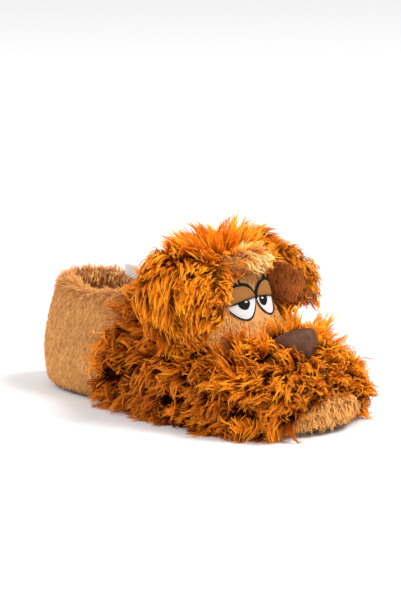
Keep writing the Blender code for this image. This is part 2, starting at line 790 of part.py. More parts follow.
def make_ear(side, word, surface, head_space, rust, tan):
    """One ear of two layers sewn together: long pile outside and short tan pile inside."""
    flap = ear_lattice(side, surface)
    whole = flap.choose(lambda j, k, centre: True)

    def soft(j, k):
        """Thinner towards the ear's sides and its tip."""
        place = 1.0 if j == flap.rows - 1 else abs(2 * k / EAR_ACROSS - 1)
        return 1.0 - EAR_EDGE_THINNING * place**4

    def lock(j, k):
        if j < EAR_BARE_ROWS:
            return None
        way = unit(flap.points[min(j + 1, flap.rows - 1), k] - flap.points[j - 1, k])
        beside = unit(flap.points[j, -1] - flap.points[j, 0]) * (2 * (k + 0.5) / EAR_ACROSS - 1)
        lean = along_surface(way + EAR_FAN * beside + EAR_STRAY * scatter(), flap.facing(j, k))
        return flap.facing(j, k), lean, uneven(EAR_LOCK)

    def above(j, k):
        return GAP / 2 + EAR_PILE * soft(j, k)

    def below(j, k):
        return -GAP / 2 - EAR_LINING * soft(j, k)

    trim(lattice_patch("ear_" + word, flap, whole, rust, lambda j, k: GAP / 2, above, lock), head_space)
    trim(lattice_patch("ear_lining_" + word, flap, whole, tan, below, lambda j, k: -GAP / 2), head_space)


def make_label(finish):
    """A plain folded tab sewn inside the collar, on the inner side of the foot."""
    inner = LAST.layer(-WALL - GAP)
    back = LAST.layer(-WALL - GAP - LABEL_THICKNESS)
    column = int(np.argmin(abs(LAST.points[-1, :, 0] - LABEL_ALONG * SOLE_LENGTH) - LAST.points[-1, :, 1]))
    loops = []
    for j, rise in ((LAST.rows - 2, 0.0), (LAST.rows - 1, 0.0), (LAST.rows - 1, LABEL_HEIGHT / 2)):
        start, way = inner[j, column], unit(inner[j, column + 1] - inner[j, column])
        depth = unit(back[j, column] - start) * LABEL_THICKNESS
        lift = np.array([0.0, 0.0, rise])
        loops.append([
            start + lift,
            start + way * LABEL_WIDTH + lift,
            start + way * LABEL_WIDTH + depth + lift,
            start + depth + lift,
        ])
    return stacked_solid("label", np.array(loops), finish)


def main():
    for old in list(bpy.data.objects):
        bpy.data.objects.remove(old)
    tan, rust = material("tan_pile"), material("rust_pile")
    make_sole()
    make_insole()
    make_upper()
    upper_space = last_cutter()
    surface = tree_of(upper_space)
    skull = head_lattice(surface)
    head_space = as_cutter(head_solid(skull, "space_of_head", None, GAP))
    face = tree_of(head_space)
    trim(head_solid(skull, "head", tan), upper_space)
    for side, word in ((-1.0, "right"), (1.0, "left")):
        make_side_pile(side, "side_pile_" + word, rust)
        make_eye(side, "eye_" + word, head_space, face, material("embroidery"))
        make_ear(side, word, surface, head_space, rust, tan)
    make_crest(face, head_space, upper_space, rust)
    make_brow(surface, head_space, tan)
    muzzle_space = make_muzzle(head_space, rust)
    make_nose(muzzle_space, upper_space, material("nose_velour"))
    make_label(material("label"))


main()
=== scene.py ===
"""Dresses the solids of a plush dog house slipper in pile, embroidery and fabric, on a pale stage."""

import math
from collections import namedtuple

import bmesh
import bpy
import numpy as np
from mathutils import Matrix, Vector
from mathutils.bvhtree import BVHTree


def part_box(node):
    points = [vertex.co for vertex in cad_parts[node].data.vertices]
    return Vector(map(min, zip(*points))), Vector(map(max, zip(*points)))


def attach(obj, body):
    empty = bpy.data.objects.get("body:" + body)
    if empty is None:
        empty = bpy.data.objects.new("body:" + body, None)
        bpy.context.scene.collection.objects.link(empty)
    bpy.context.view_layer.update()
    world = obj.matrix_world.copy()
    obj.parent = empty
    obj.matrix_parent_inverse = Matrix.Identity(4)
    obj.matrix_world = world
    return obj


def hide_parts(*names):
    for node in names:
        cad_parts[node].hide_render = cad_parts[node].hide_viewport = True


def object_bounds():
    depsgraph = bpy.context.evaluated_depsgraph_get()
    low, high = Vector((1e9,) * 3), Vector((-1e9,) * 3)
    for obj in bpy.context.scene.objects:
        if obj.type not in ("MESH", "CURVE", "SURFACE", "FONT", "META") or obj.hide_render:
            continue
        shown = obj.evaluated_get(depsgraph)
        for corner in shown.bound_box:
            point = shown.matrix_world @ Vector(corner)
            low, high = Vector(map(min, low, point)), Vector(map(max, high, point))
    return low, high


bl_info = {
    "name": "Plush dog house slipper",
    "version": (1, 0, 0),
    "blender": (4, 5, 0),
    "location": "3D View > Sidebar > Slipper",
    "description": "Makes the slipper's pile, face, sole and stage over its solids",
    "category": "Object",
}

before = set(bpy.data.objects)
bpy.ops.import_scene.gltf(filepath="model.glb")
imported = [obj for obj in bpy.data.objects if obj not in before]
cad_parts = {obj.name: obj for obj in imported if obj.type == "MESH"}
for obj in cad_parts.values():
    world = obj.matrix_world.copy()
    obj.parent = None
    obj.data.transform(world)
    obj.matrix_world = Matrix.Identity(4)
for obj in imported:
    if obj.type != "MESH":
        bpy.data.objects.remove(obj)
CAD_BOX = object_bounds()

# The part's own sizes that the pile's borders follow
SOLE_SETBACK = 0.002
SOLE_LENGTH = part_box("outsole")[1].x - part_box("outsole")[0].x + 2 * SOLE_SETBACK
BALL_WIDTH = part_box("outsole")[1].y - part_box("outsole")[0].y + SOLE_SETBACK
HEEL_HEIGHT = 0.085
SOLE_THICKNESS = 0.005
SOLE_FRINGE = 0.010
HEAD_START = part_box("head")[0].x
HEAD_LENGTH = 0.100
HEAD_WIDTH = 0.092
HEAD_TOP = 0.121
HEAD_SQUARENESS = 2.5
SIDE_PILE = 0.006
MUZZLE_PILE = 0.0045
MUZZLE_STUFFING = 0.0045
EYE_WIDTH = 0.0262
EYE_HEIGHT = 0.026
EYE_NARROWING = 0.16
EYE_LEVEL = 0.735 * HEAD_TOP
EYE_APART = 0.0134
EAR_PILE = 0.006

# Borders as shares of the sole's length: where each stands at the floor, and how far it leans to the toe
SEAM_FOOT, SEAM_LEAN = -0.19, 0.09
CHEEK_FOOT, CHEEK_LEAN = 0.19, 0.08
CHIN_START = 0.33
# The arch over the chin as shares of the heel's height and the ball's width
CHIN_HEIGHT, CHIN_WIDTH = 0.36, 0.86

# Dots of grip under the sole: radius, height, distance apart, sides, and free room round each in radii
DOT = 0.0012
DOT_HEIGHT = 0.0005
DOT_PITCH = 0.0085
DOT_SIDES = 10
DOT_ROOM = 2.5

DOWN = np.array([0.0, 0.0, -1.0])
FLOOR_CLEAR = 0.0004
LINE_STEPS = 16
ROOT_DEPTH = 0.0006
DRIFT_SIZE = 0.030

# Tint: its steps on the bake map, the skin's own, and how far locks, wisps, strands and patches vary
TINTS = 128
SKIN_TINT = 0.5
LOCK_TINT = 0.09
WISP_TINT = 0.09
STRAND_TINT = 0.06
PATCH_TINT = 0.09

# A pile: spacing of its locks, wisps in a lock, strands in a wisp, stations along a strand, strand width,
# radius of a lock's root, how far a lock springs up at its root, stands up all along, sags, curls and turns,
# how tightly it gathers to its tip, its shortest length as a share, and how far its comb drifts and strays
Pile = namedtuple(
    "Pile",
    "spacing wisps strands stations width spread lift stand sag curl turns gather shortest drift stray",
)
SIDE_LOCKS = Pile(0.0078, 13, 4, 5, 0.00062, 0.0062, 1.1, 0.12, 0.5, 0.0050, 0.9, 0.78, 0.45, 0.55, 0.50)
MUZZLE_LOCKS = Pile(0.0078, 13, 4, 5, 0.00062, 0.0062, 1.1, 0.14, 0.4, 0.0048, 0.9, 0.75, 0.48, 0.45, 0.42)
CREST_LOCKS = Pile(0.0050, 7, 4, 5, 0.00055, 0.0034, 1.2, 0.90, 0.2, 0.0014, 0.7, 0.30, 0.50, 0.25, 0.30)
EAR_LOCKS = Pile(0.0070, 13, 4, 5, 0.00055, 0.0060, 0.8, 0.10, 0.3, 0.0013, 0.6, 0.25, 0.60, 0.18, 0.18)
SHORT_TUFTS = Pile(0.0023, 8, 1, 2, 0.00050, 0.0020, 0.40, 0.10, 0.2, 0.0001, 0.5, 0.00, 0.70, 0.12, 0.12)
CHIN_TUFTS = Pile(0.0034, 6, 3, 3, 0.00055, 0.0024, 0.8, 0.15, 0.5, 0.0010, 0.6, 0.40, 0.60, 0.30, 0.30)
LINING_TUFTS = Pile(0.0034, 7, 1, 3, 0.00080, 0.0028, 0.8, 0.25, 0.2, 0.0006, 0.5, 0.00, 0.60, 0.30, 0.30)
BROW_TUFTS = Pile(0.0040, 9, 3, 4, 0.00050, 0.0034, 1.0, 0.45, 0.2, 0.0008, 0.5, 0.60, 0.60, 0.20, 0.25)
SHORT_TWIST = 0.15
BRUSHED_BACK = (-0.25, 0.0, -0.9)

# The two sides of the slipper: which way each lies from its middle, and the word in its names
SIDES = ((-1.0, "right"), (1.0, "left"))


def unit(v):
    return v / np.maximum(np.linalg.norm(v, axis=-1, keepdims=True), 1e-12)


def slope(values, start, span, low=0.0, high=1.0):
    """Rises evenly with the values from the start on, over the span, and stays between low and high."""
    return np.clip((values - start) / span, low, high)


def at_places(rule, places):
    """A rule's number for each place, or one number for them all."""
    return rule(places) if callable(rule) else np.full(len(places), float(rule))


def drift(places, rng, size=DRIFT_SIZE, waves=5):
    """A direction that changes slowly from place to place, as pile lies after handling."""
    total = np.zeros_like(places)
    for _ in range(waves):
        crest = unit(rng.normal(size=3)) * (2 * math.pi / (size * rng.uniform(0.6, 1.8)))
        total += np.sin(places @ crest + rng.uniform(0, 2 * math.pi))[:, None] * unit(rng.normal(size=3))
    return total * math.sqrt(2 / waves)


# Surfaces as arrays


def point_normals(points, triangles):
    """Smooth normals of a triangle mesh's points."""
    a, b, c = (points[triangles[:, i]] for i in range(3))
    facing = np.cross(b - a, c - a)
    normals = np.zeros_like(points)
    for i in range(3):
        np.add.at(normals, triangles[:, i], facing)
    return unit(normals)


def edge_points(triangles):
    """The numbers of the points on the open edge of a patch."""
    edges = np.concatenate([triangles[:, [0, 1]], triangles[:, [1, 2]], triangles[:, [2, 0]]])
    pairs, uses = np.unique(np.sort(edges, axis=1), axis=0, return_counts=True)
    return np.unique(pairs[uses == 1])


class Skin:
    """A surface's points, smooth normals and triangles."""

    def __init__(self, points, triangles, normals=None):
        self.points, self.triangles = points, triangles
        self.normals = point_normals(points, triangles) if normals is None else normals

    def centres(self):
        return self.points[self.triangles].mean(axis=1)

    def facings(self):
        a, b, c = (self.points[self.triangles[:, i]] for i in range(3))
        return unit(np.cross(b - a, c - a))

    def part(self, chosen, lift=None):
        """The chosen triangles as a skin of their own, raised off the surface save along its edge."""
        used, triangles = np.unique(self.triangles[chosen], return_inverse=True)
        triangles = triangles.reshape(-1, 3)
        points = self.points[used].copy()
        if lift is not None:
            height = at_places(lift, points)
            height[edge_points(triangles)] = 0.0
            points += self.normals[used] * height[:, None]
            return Skin(points, triangles)
        return Skin(points, triangles, self.normals[used])

    def scatter(self, spacing, rng, keep=None):
        """Places about one spacing apart on the surface, with its normal at each."""
        corners = [self.points[self.triangles[:, i]] for i in range(3)]
        areas = np.linalg.norm(np.cross(corners[1] - corners[0], corners[2] - corners[0]), axis=1) / 2
        count = int(8 * areas.sum() / spacing**2)
        chosen = rng.choice(len(areas), count, p=areas / areas.sum())
        root = np.sqrt(rng.random(count))
        along = rng.random(count)
        shares = np.stack([1 - root, root * (1 - along), root * along], axis=1)
        places = sum(shares[:, i, None] * corners[i][chosen] for i in range(3))
        normals = sum(shares[:, i, None] * self.normals[self.triangles[chosen, i]] for i in range(3))
        if keep is not None:
            wanted = keep(places)
            places, normals = places[wanted], normals[wanted]
        first = np.unique(np.floor(places / spacing).astype(int), axis=0, return_index=True)[1]
        return places[first], unit(normals[first])

    def tree(self):
        return BVHTree.FromPolygons(self.points.tolist(), self.triangles.tolist())


def arrays_of(mesh):
    mesh.calc_loop_triangles()
    points = np.empty(3 * len(mesh.vertices))
    mesh.vertices.foreach_get("co", points)
    triangles = np.empty(3 * len(mesh.loop_triangles), int)
    mesh.loop_triangles.foreach_get("vertices", triangles)
    return points.reshape(-1, 3), triangles.reshape(-1, 3)


def smooth_mesh(node, levels, crease=0.0):
    """A CAD solid's shape with its triangles joined to quads, rounded by subdivision save at creases."""
    work = bmesh.new()
    work.from_mesh(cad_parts[node].data)
    bmesh.ops.remove_doubles(work, verts=work.verts, dist=1e-5)
    bmesh.ops.join_triangles(
        work,
        faces=work.faces,
        angle_face_threshold=math.radians(50),
        angle_shape_threshold=math.radians(70),
    )
    sharpness = work.edges.layers.float.new("crease_edge")
    for edge in work.edges:
        edge[sharpness] = crease
    mesh = bpy.data.meshes.new(node + "_rounded")
    work.to_mesh(mesh)
    work.free()
    holder = bpy.data.objects.new(node + "_rounded", mesh)
    bpy.context.scene.collection.objects.link(holder)
    rounding = holder.modifiers.new("Rounding", "SUBSURF")
    rounding.levels = levels
    rounding.render_levels = levels
    depsgraph = bpy.context.evaluated_depsgraph_get()
    rounded = bpy.data.meshes.new_from_object(holder.evaluated_get(depsgraph))
    bpy.data.objects.remove(holder)
    return rounded


def smooth_skin(node, levels):
    return Skin(*arrays_of(smooth_mesh(node, levels)))


# The borders of the pile, as in the part


def seam_x(z):
    """Where the short pile of the heel meets the long pile of the side."""
    return SOLE_LENGTH * (SEAM_FOOT + SEAM_LEAN * (z / HEEL_HEIGHT) ** 2)


def cheek_x(z):
    """Where the side's long pile meets the muzzle's."""
    return SOLE_LENGTH * (CHEEK_FOOT + CHEEK_LEAN * z / HEEL_HEIGHT)


def by_cheek(p):
    """1 along the seam between side and muzzle, where the pile is pressed down, and 0 away from it."""
    return np.exp(-(((p[:, 0] - cheek_x(p[:, 2])) / 0.010) ** 2))


def chin_top(y):
    """The height of the arch over the chin's shorter pile."""
    return CHIN_HEIGHT * HEEL_HEIGHT * (1.0 - (2.0 * y / (CHIN_WIDTH * BALL_WIDTH)) ** 2)


def on_chin(p):
    x, y, z = p.T
    return (x > CHIN_START * SOLE_LENGTH) & (z < chin_top(y))


def under_head(p, margin):
    along = np.abs(p[:, 0] - HEAD_START - HEAD_LENGTH / 2) / (HEAD_LENGTH / 2 + margin)
    across = np.abs(p[:, 1]) / (HEAD_WIDTH / 2 + margin)
    return along**HEAD_SQUARENESS + across**HEAD_SQUARENESS < 1.0


def stuffing(p):
    """How thick the muzzle is over the upper: fullest under the nose."""
    x, y, z = p.T
    along = (x - CHIN_START * SOLE_LENGTH) / (0.10 * SOLE_LENGTH)
    across = y / (0.42 * BALL_WIDTH)
    fullness = np.exp(-(along**2) - across**2) * np.minimum(1.0, z / (0.35 * HEEL_HEIGHT))
    return MUZZLE_PILE + MUZZLE_STUFFING * fullness


def outside_of_upper(skin):
    """True for the triangles of the upper's outer side and rim, and False for its lining."""
    centres = skin.centres()
    x, y, z = centres.T
    core = np.stack([np.clip(x, -0.085, 0.085), np.zeros(len(centres)), np.minimum(z / 2, 0.025)], axis=1)
    return np.einsum("ij,ij->i", centres - core, skin.facings()) > 0


def outer_upper():
    skin = smooth_skin("upper", 2)
    return skin.part(outside_of_upper(skin))


def on_long_side(p):
    x, y, z = p.T
    return (x > seam_x(z)) & (x < cheek_x(z)) & ~under_head(p, -0.004)


def on_muzzle(p):
    return (p[:, 0] >= cheek_x(p[:, 2])) & ~on_chin(p) & ~under_head(p, -0.012)


# Pile


def lock_lines(roots, facing, comb, lengths, stand, pile, rng):
    """The middle line of each lock: up off its skin, over to its comb, then down under its own weight."""
    shares = ((np.arange(LINE_STEPS) + 0.5) / LINE_STEPS)[None, :, None]
    rise = pile.lift * (1 - shares) ** 1.5 + stand[:, None, None]
    ways = facing[:, None] * rise + comb[:, None] * (0.35 + shares)
    ways = unit(ways + DOWN * pile.sag * shares**2)
    steps = np.cumsum(ways * (lengths[:, None, None] / LINE_STEPS), axis=1)
    lines = np.concatenate([np.zeros((len(roots), 1, 3)), steps], axis=1) + roots[:, None]
    along = np.linspace(0, 1, LINE_STEPS + 1)[None, :, None]
    turn = rng.uniform(0, 2 * math.pi, (len(roots), 1, 1)) + 2 * math.pi * pile.turns * along
    turn = turn * rng.choice([-1.0, 1.0], (len(roots), 1, 1))
    beside = unit(np.cross(facing, comb))[:, None]
    return lines + pile.curl * along * (np.cos(turn) * beside + np.sin(turn) * facing[:, None])


def strand_lines(lines, facing, comb, pile, rng):
    """The strands of every lock: spread at the root, gathered into wisps and towards the lock's tip."""
    locks, wisps, strands = len(lines), pile.wisps, pile.wisps * pile.strands
    along = np.linspace(0, 1, pile.stations + 1)[None, None, :, None]

    def in_disc(count):
        angle = rng.uniform(0, 2 * math.pi, (locks, count, 1, 1))
        radius = np.sqrt(rng.random((locks, count, 1, 1)))
        beside = unit(np.cross(facing, comb))[:, None, None]
        return radius * (np.cos(angle) * beside + np.sin(angle) * comb[:, None, None])

    def by_wisp(values):
        return np.repeat(values, pile.strands, axis=1)

    reach = by_wisp(rng.uniform(pile.shortest, 1.0, (locks, wisps, 1)))
    reach = reach * rng.uniform(0.85, 1.0, (locks, strands, 1)) * along[:, :, :, 0]
    place = reach * LINE_STEPS
    low = np.minimum(place.astype(int), LINE_STEPS - 1)
    rest = (place - low)[..., None]
    rows = np.arange(locks)[:, None, None]
    middle = lines[rows, low] * (1 - rest) + lines[rows, low + 1] * rest
    gather = np.minimum(pile.gather * rng.uniform(0.6, 1.4, (locks, 1, 1, 1)), 0.95)
    wisp_off = by_wisp(in_disc(wisps)) * pile.spread * (1 - gather * along**0.7)
    strand_off = in_disc(strands) * 0.35 * pile.spread * (1 - 0.80 * along)
    loose = np.where(rng.random((locks, wisps, 1, 1)) < 0.12, 1.8, 1.0)
    stray = by_wisp(rng.normal(0, 0.8 * pile.stray * pile.spread, (locks, wisps, 1, 3)) * loose) * along**1.5
    bow = by_wisp(rng.normal(0, 0.25 * pile.spread, (locks, wisps, 1, 3))) * np.sin(math.pi * along)
    out = middle + wisp_off + strand_off + stray + bow
    out[..., 2] = np.maximum(out[..., 2], FLOOR_CLEAR)
    return out


def strand_mesh(lines, facing, width, tint, twist, rng):
    """Flat tapering strands along the lines: points, triangles, reach, tint and bake map."""
    locks, strands, stations = lines.shape[:3]
    count = locks * strands
    lines = lines.reshape(count, stations, 3)
    look = np.repeat(facing, strands, axis=0) + rng.normal(0, twist, (count, 3))
    across = unit(np.cross(np.gradient(lines, axis=1), look[:, None]))
    reach = np.linspace(0, 1, stations)
    across *= (width / 2 * (1 - 0.6 * reach**2))[None, :, None]
    pairs = np.stack([lines - across, lines + across], axis=2)[:, :-1].reshape(count, -1, 3)
    points = np.concatenate([pairs, lines[:, -1:]], axis=1)
    size = points.shape[1]
    local = []
    for k in range(stations - 2):
        a = 2 * k
        local += [(a, a + 1, a + 3), (a, a + 3, a + 2)]
    local.append((size - 3, size - 2, size - 1))
    triangles = (np.arange(count)[:, None, None] * size + np.array(local)[None]).reshape(-1, 3)
    reaches = np.tile(np.append(np.repeat(reach[:-1], 2), 1.0), count)
    bins = np.clip((tint * TINTS).astype(int), 0, TINTS - 1)
    sides = np.append(np.tile([-0.4, 0.4], stations - 1), 0.0)
    u = ((bins[:, None] + 0.5 + sides[None]) / TINTS).reshape(-1)
    tints = np.repeat((bins + 0.5) / TINTS, size)
    return points.reshape(-1, 3), triangles, reaches, tints, np.stack([u, reaches], axis=1)


def backing_mesh(skin):
    """The skin under the strands, in the colour of their roots, which is partly painted shade."""
    count = len(skin.triangles)
    corners = skin.points[skin.triangles].reshape(-1, 3)
    triangles = np.arange(3 * count).reshape(-1, 3)
    middle = (int(SKIN_TINT * TINTS) + 0.5) / TINTS
    spot = np.array([[-0.3 / TINTS, 0.0], [0.3 / TINTS, 0.0], [0.0, 0.012]]) + [middle, 0.002]
    return corners, triangles, np.zeros(3 * count), np.full(3 * count, middle), np.tile(spot, (count, 1))


def pile_object(name, parts, finish):
    """One mesh object from several sets of strands and backing."""
    starts = np.cumsum([0] + [len(part[0]) for part in parts[:-1]])
    points = np.concatenate([part[0] for part in parts])
    triangles = np.concatenate([part[1] + start for part, start in zip(parts, starts)])
    mesh = bpy.data.meshes.new(name)
    mesh.vertices.add(len(points))
    mesh.vertices.foreach_set("co", points.astype(np.float32).ravel())
    mesh.loops.add(3 * len(triangles))
    mesh.loops.foreach_set("vertex_index", triangles.astype(np.int32).ravel())
    mesh.polygons.add(len(triangles))
    mesh.polygons.foreach_set("loop_start", np.arange(0, 3 * len(triangles), 3, dtype=np.int32))
    mesh.update(calc_edges=True)
    for word, column in (("reach", 2), ("tint", 3)):
        values = np.concatenate([part[column] for part in parts]).astype(np.float32)
        mesh.attributes.new(word, "FLOAT", "POINT").data.foreach_set("value", values)
    places = np.concatenate([part[4] for part in parts])[triangles.ravel()]
    mesh.uv_layers.new(name="OFBake").data.foreach_set("uv", places.astype(np.float32).ravel())
    return plain_object(name, mesh, finish)


def grow(skin, pile, length, comb, rng, keep=None, shade=0.0, stand=None, twist=0.40):
    """Locks of pile over a skin. Length, comb, shade and stand may be rules over the locks' places."""
    roots, facing = skin.scatter(pile.spacing, rng, keep)
    way = comb(roots) if callable(comb) else np.array(comb)
    way = way + pile.drift * drift(roots, rng) + rng.normal(0, pile.stray, roots.shape)
    way = unit(way - facing * np.einsum("ij,ij->i", way, facing)[:, None])
    lengths = at_places(length, roots) * rng.uniform(pile.shortest, 1.05, len(roots))
    stand = at_places(pile.stand if stand is None else stand, roots)
    stand = stand + pile.stray * rng.random(len(roots)) ** 2
    lines = lock_lines(roots - facing * ROOT_DEPTH, facing, way, lengths, stand, pile, rng)
    strands = strand_lines(lines, facing, way, pile, rng)
    tint = SKIN_TINT + rng.normal(0, LOCK_TINT, len(roots)) + PATCH_TINT * drift(roots, rng)[:, 0]
    # shade adds painted light to the tint where above zero, and painted shade where below.
    tint = tint + at_places(shade, roots)
    tint = np.repeat(tint, pile.wisps) + rng.normal(0, WISP_TINT, len(roots) * pile.wisps)
    tint = np.repeat(tint, pile.strands) + rng.normal(0, STRAND_TINT, len(tint) * pile.strands)
    return strand_mesh(strands, facing, pile.width, np.clip(tint, 0, 0.999), twist, rng)


def plain_object(name, mesh, finish):
    piece = bpy.data.objects.new(name, mesh)
    bpy.context.scene.collection.objects.link(piece)
    mesh.materials.clear()
    mesh.materials.append(finish)
    mesh.shade_smooth()
    return piece


def skin_object(name, skin, finish):
    mesh = bpy.data.meshes.new(name)
    mesh.from_pydata(skin.points.tolist(), [], skin.triangles.tolist())
    return plain_object(name, mesh, finish)


def finished(piece, *nodes, slot, pad=None):
    """Lets a piece ride with the slipper in the place of its CAD nodes."""
    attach(piece, "root")
    if nodes:
        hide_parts(*nodes)
    return piece


# Materials

PILE_ROUGHNESS, PILE_GLOSS = 0.6, 0.05
PILE_MIDDLE = 0.60
WEAVE_ROUGHNESS, WEAVE_SHEEN = 0.85, 0.15
THREAD_PITCH = 0.0006
THREAD_TURN = math.radians(8)
# The scale of a wave texture whose bands are one metre apart
BAND_SCALE = 0.31


def scaled(colour, share):
    return [share * c for c in colour[:3]]


class Look:
    """A material in the making, with its nodes."""

    def __init__(self, name, roughness, sheen=0.0, gloss=0.10):
        self.material = bpy.data.materials.new(name)
        self.material.use_nodes = True
        self.nodes = self.material.node_tree.nodes
        self.shader = self.nodes["Principled BSDF"]
        self.shader.inputs["Roughness"].default_value = roughness
        self.shader.inputs["Metallic"].default_value = 0.0
        self.shader.inputs["Sheen Weight"].default_value = sheen
        self.shader.inputs["Specular IOR Level"].default_value = gloss

    def node(self, kind, **values):
        """A new node with its sockets set. An underscore stands for a space in a socket's name."""
        made = self.nodes.new("ShaderNode" + kind)
        for word, value in values.items():
            made.inputs[word.replace("_", " ")].default_value = value
        return made

    def attribute(self, name):
        made = self.node("Attribute")
        made.attribute_name = name
        return made

    def link(self, source, output, target, socket):
        self.material.node_tree.links.new(source.outputs[output], target.inputs[socket])

    def ramp(self, source, output, stops):
        """A node that turns a value from 0 to 1 into the colours between stops."""
        made = self.node("ValToRGB")
        made.color_ramp.interpolation = "LINEAR"
        while len(made.color_ramp.elements) < len(stops):
            made.color_ramp.elements.new(0.5)
        for element, (place, colour) in zip(made.color_ramp.elements, stops):
            element.position = place
            element.color = (*colour[:3], 1.0)
        self.link(source, output, made, "Fac")
        return made

    def paint(self, source, output, stops):
        """Colours the surface by a ramp between stops."""
        self.link(self.ramp(source, output, stops), "Color", self.shader, "Base Color")

    def between(self, source, output, low, high, target, socket):
        """Sends a value from 0 to 1 on as one from low to high."""
        made = self.node("MapRange", To_Min=low, To_Max=high)
        self.link(source, output, made, "Value")
        self.link(made, "Result", target, socket)

    def bands(self, source, output, direction, pitch, distortion):
        """Wavy threads side by side at a pitch."""
        made = self.node("TexWave", Scale=BAND_SCALE / pitch, Distortion=distortion)
        made.wave_type = "BANDS"
        made.bands_direction = direction
        self.link(source, output, made, "Vector")
        return made

    def bump(self, source, output, strength, distance):
        made = self.node("Bump", Strength=strength, Distance=distance)
        self.link(source, output, made, "Height")
        self.link(made, "Normal", self.shader, "Normal")


def pile_material(name, root, middle, tip, dark_to=0.26, contrast=0.65, turn=0.018):
    """Strands darker at the root, which paints the shade in the hollows between the locks, and paler at the
    tip, each lock a little different from the next.
    """
    look = Look(name, PILE_ROUGHNESS, gloss=PILE_GLOSS)
    tint = look.attribute("tint")
    stops = [(dark_to, root), (PILE_MIDDLE, middle), (1.0, tip)]
    # The tint carries painted light and shade as well as each lock's own tone: it scales the brightness and
    # turns darker strands redder.
    varied = look.node("HueSaturation")
    look.between(tint, "Fac", 0.5 - turn, 0.5 + turn, varied, "Hue")
    look.between(tint, "Fac", 1 - contrast, 1 + contrast, varied, "Value")
    look.link(look.ramp(look.attribute("reach"), "Fac", stops), "Color", varied, "Color")
    look.link(varied, "Color", look.shader, "Base Color")
    return look.material


def cloth_material(name, dark, light, grain, roughness=0.85, sheen=0.3, depth=0.0004):
    """Napped cloth: mottled colour, uneven roughness and a fine bumpy grain of the given pitch."""
    look = Look(name, roughness, sheen)
    place = look.node("TexCoord")
    coarse = look.node("TexNoise", Scale=0.12 / grain, Detail=3.0)
    fine = look.node("TexNoise", Scale=1.0 / grain, Detail=4.0)
    both = look.node("Mix", Factor=0.45)
    for texture, socket in ((coarse, "A"), (fine, "B")):
        look.link(place, "Object", texture, "Vector")
        look.link(texture, "Fac", both, socket)
    look.paint(both, "Result", [(0.3, dark), (0.7, light)])
    look.between(fine, "Fac", roughness - 0.1, min(roughness + 0.1, 1.0), look.shader, "Roughness")
    look.bump(fine, "Fac", 0.6, depth)
    return look.material


def thread_material(name, colour, roughness=0.45):
    """Satin stitch: threads side by side, darker between them."""
    look = Look(name, roughness)
    turned = look.node("Mapping", Rotation=(0.0, 0.0, THREAD_TURN))
    look.link(look.node("TexCoord"), "Object", turned, "Vector")
    threads = look.bands(turned, "Vector", "Y", THREAD_PITCH, 0.6)
    threads.inputs["Detail Scale"].default_value = 2.0
    look.paint(threads, "Fac", [(0.0, scaled(colour, 0.72)), (0.55, colour)])
    look.bump(threads, "Fac", 0.7, THREAD_PITCH / 3)
    return look.material


def weave_material(name, colour, pitch, shaded=0.6):
    """Plain weave of two crossing threads, with the gaps between them shaded."""
    look = Look(name, WEAVE_ROUGHNESS, WEAVE_SHEEN)
    place = look.node("TexCoord")
    crossed = look.node("Math")
    crossed.operation = "MULTIPLY"
    for socket, direction in enumerate("XY"):
        look.link(look.bands(place, "Object", direction, pitch, 0.4), "Fac", crossed, socket)
    look.paint(crossed, "Value", [(0.0, scaled(colour, shaded)), (0.6, colour)])
    look.bump(crossed, "Value", 0.6, pitch / 4)
    return look.material


# What a user can change


def colour_property(name, description, default):
    return bpy.props.FloatVectorProperty(
        name=name, description=description, default=default, subtype="COLOR", size=3, min=0.0, max=1.0
    )


def number_property(name, description, default, **kind):
    return bpy.props.FloatProperty(name=name, description=description, default=default, **kind)


def length_property(name, description, default):
    return number_property(name, description, default, min=0.0, unit="LENGTH", precision=4)


def angle_property(name, description, degrees):
    return number_property(name, description, math.radians(degrees), subtype="ANGLE")


class SlipperColours(bpy.types.PropertyGroup):
    """The colours of the slipper's piles and cloths."""

    # The near-black root is painted shade in the hollows between the locks.
    rust_root: colour_property("Rust root", "Long pile at its root", (0.040, 0.0035, 0.0003))
    rust: colour_property("Rust", "Long pile halfway along a strand", (0.76, 0.185, 0.006))
    rust_tip: colour_property("Rust tip", "Long pile at its tip", (0.99, 0.37, 0.024))
    tan_root: colour_property("Tan root", "Short pile at its root", (0.50, 0.215, 0.060))
    tan: colour_property("Tan", "Short pile halfway along a strand", (0.72, 0.340, 0.105))
    tan_tip: colour_property("Tan tip", "Short pile at its tip", (0.84, 0.430, 0.155))
    cream: colour_property("Cream", "Tips of the brow", (0.98, 0.68, 0.28))
    lining: colour_property("Ear lining", "Short pile inside the ears", (0.82, 0.310, 0.080))
    nose: colour_property("Nose", "Velour of the nose", (0.080, 0.033, 0.017))
    lid: colour_property("Lid", "Eyelid stitching", (0.42, 0.180, 0.050))
    white: colour_property("White", "White of the eye", (0.85, 0.83, 0.81))
    black: colour_property("Black", "Pupils, outlines and lashes", (0.012, 0.010, 0.010))
    sole: colour_property("Sole", "Fabric of the sole", (0.20, 0.105, 0.050))
    tab: colour_property("Tab", "Woven tab inside the collar", (0.93, 0.93, 0.92))


class SlipperPile(bpy.types.PropertyGroup):
    """How long the slipper's piles are."""

    side: length_property("Sides", "Length of the locks on the sides", 0.027)
    muzzle: length_property("Muzzle", "Length of the locks on the muzzle", 0.025)
    crest: length_property("Crest", "Length of the locks on the crown", 0.034)
    ear: length_property("Ears", "Length of the locks on the ears", 0.029)
    short: length_property("Short pile", "Length of the tan pile", 0.0060)
    chin: length_property("Chin", "Length of the pile on the chin", 0.0100)
    brow: length_property("Brow", "Length of the pale tuft on the brow", 0.0140)


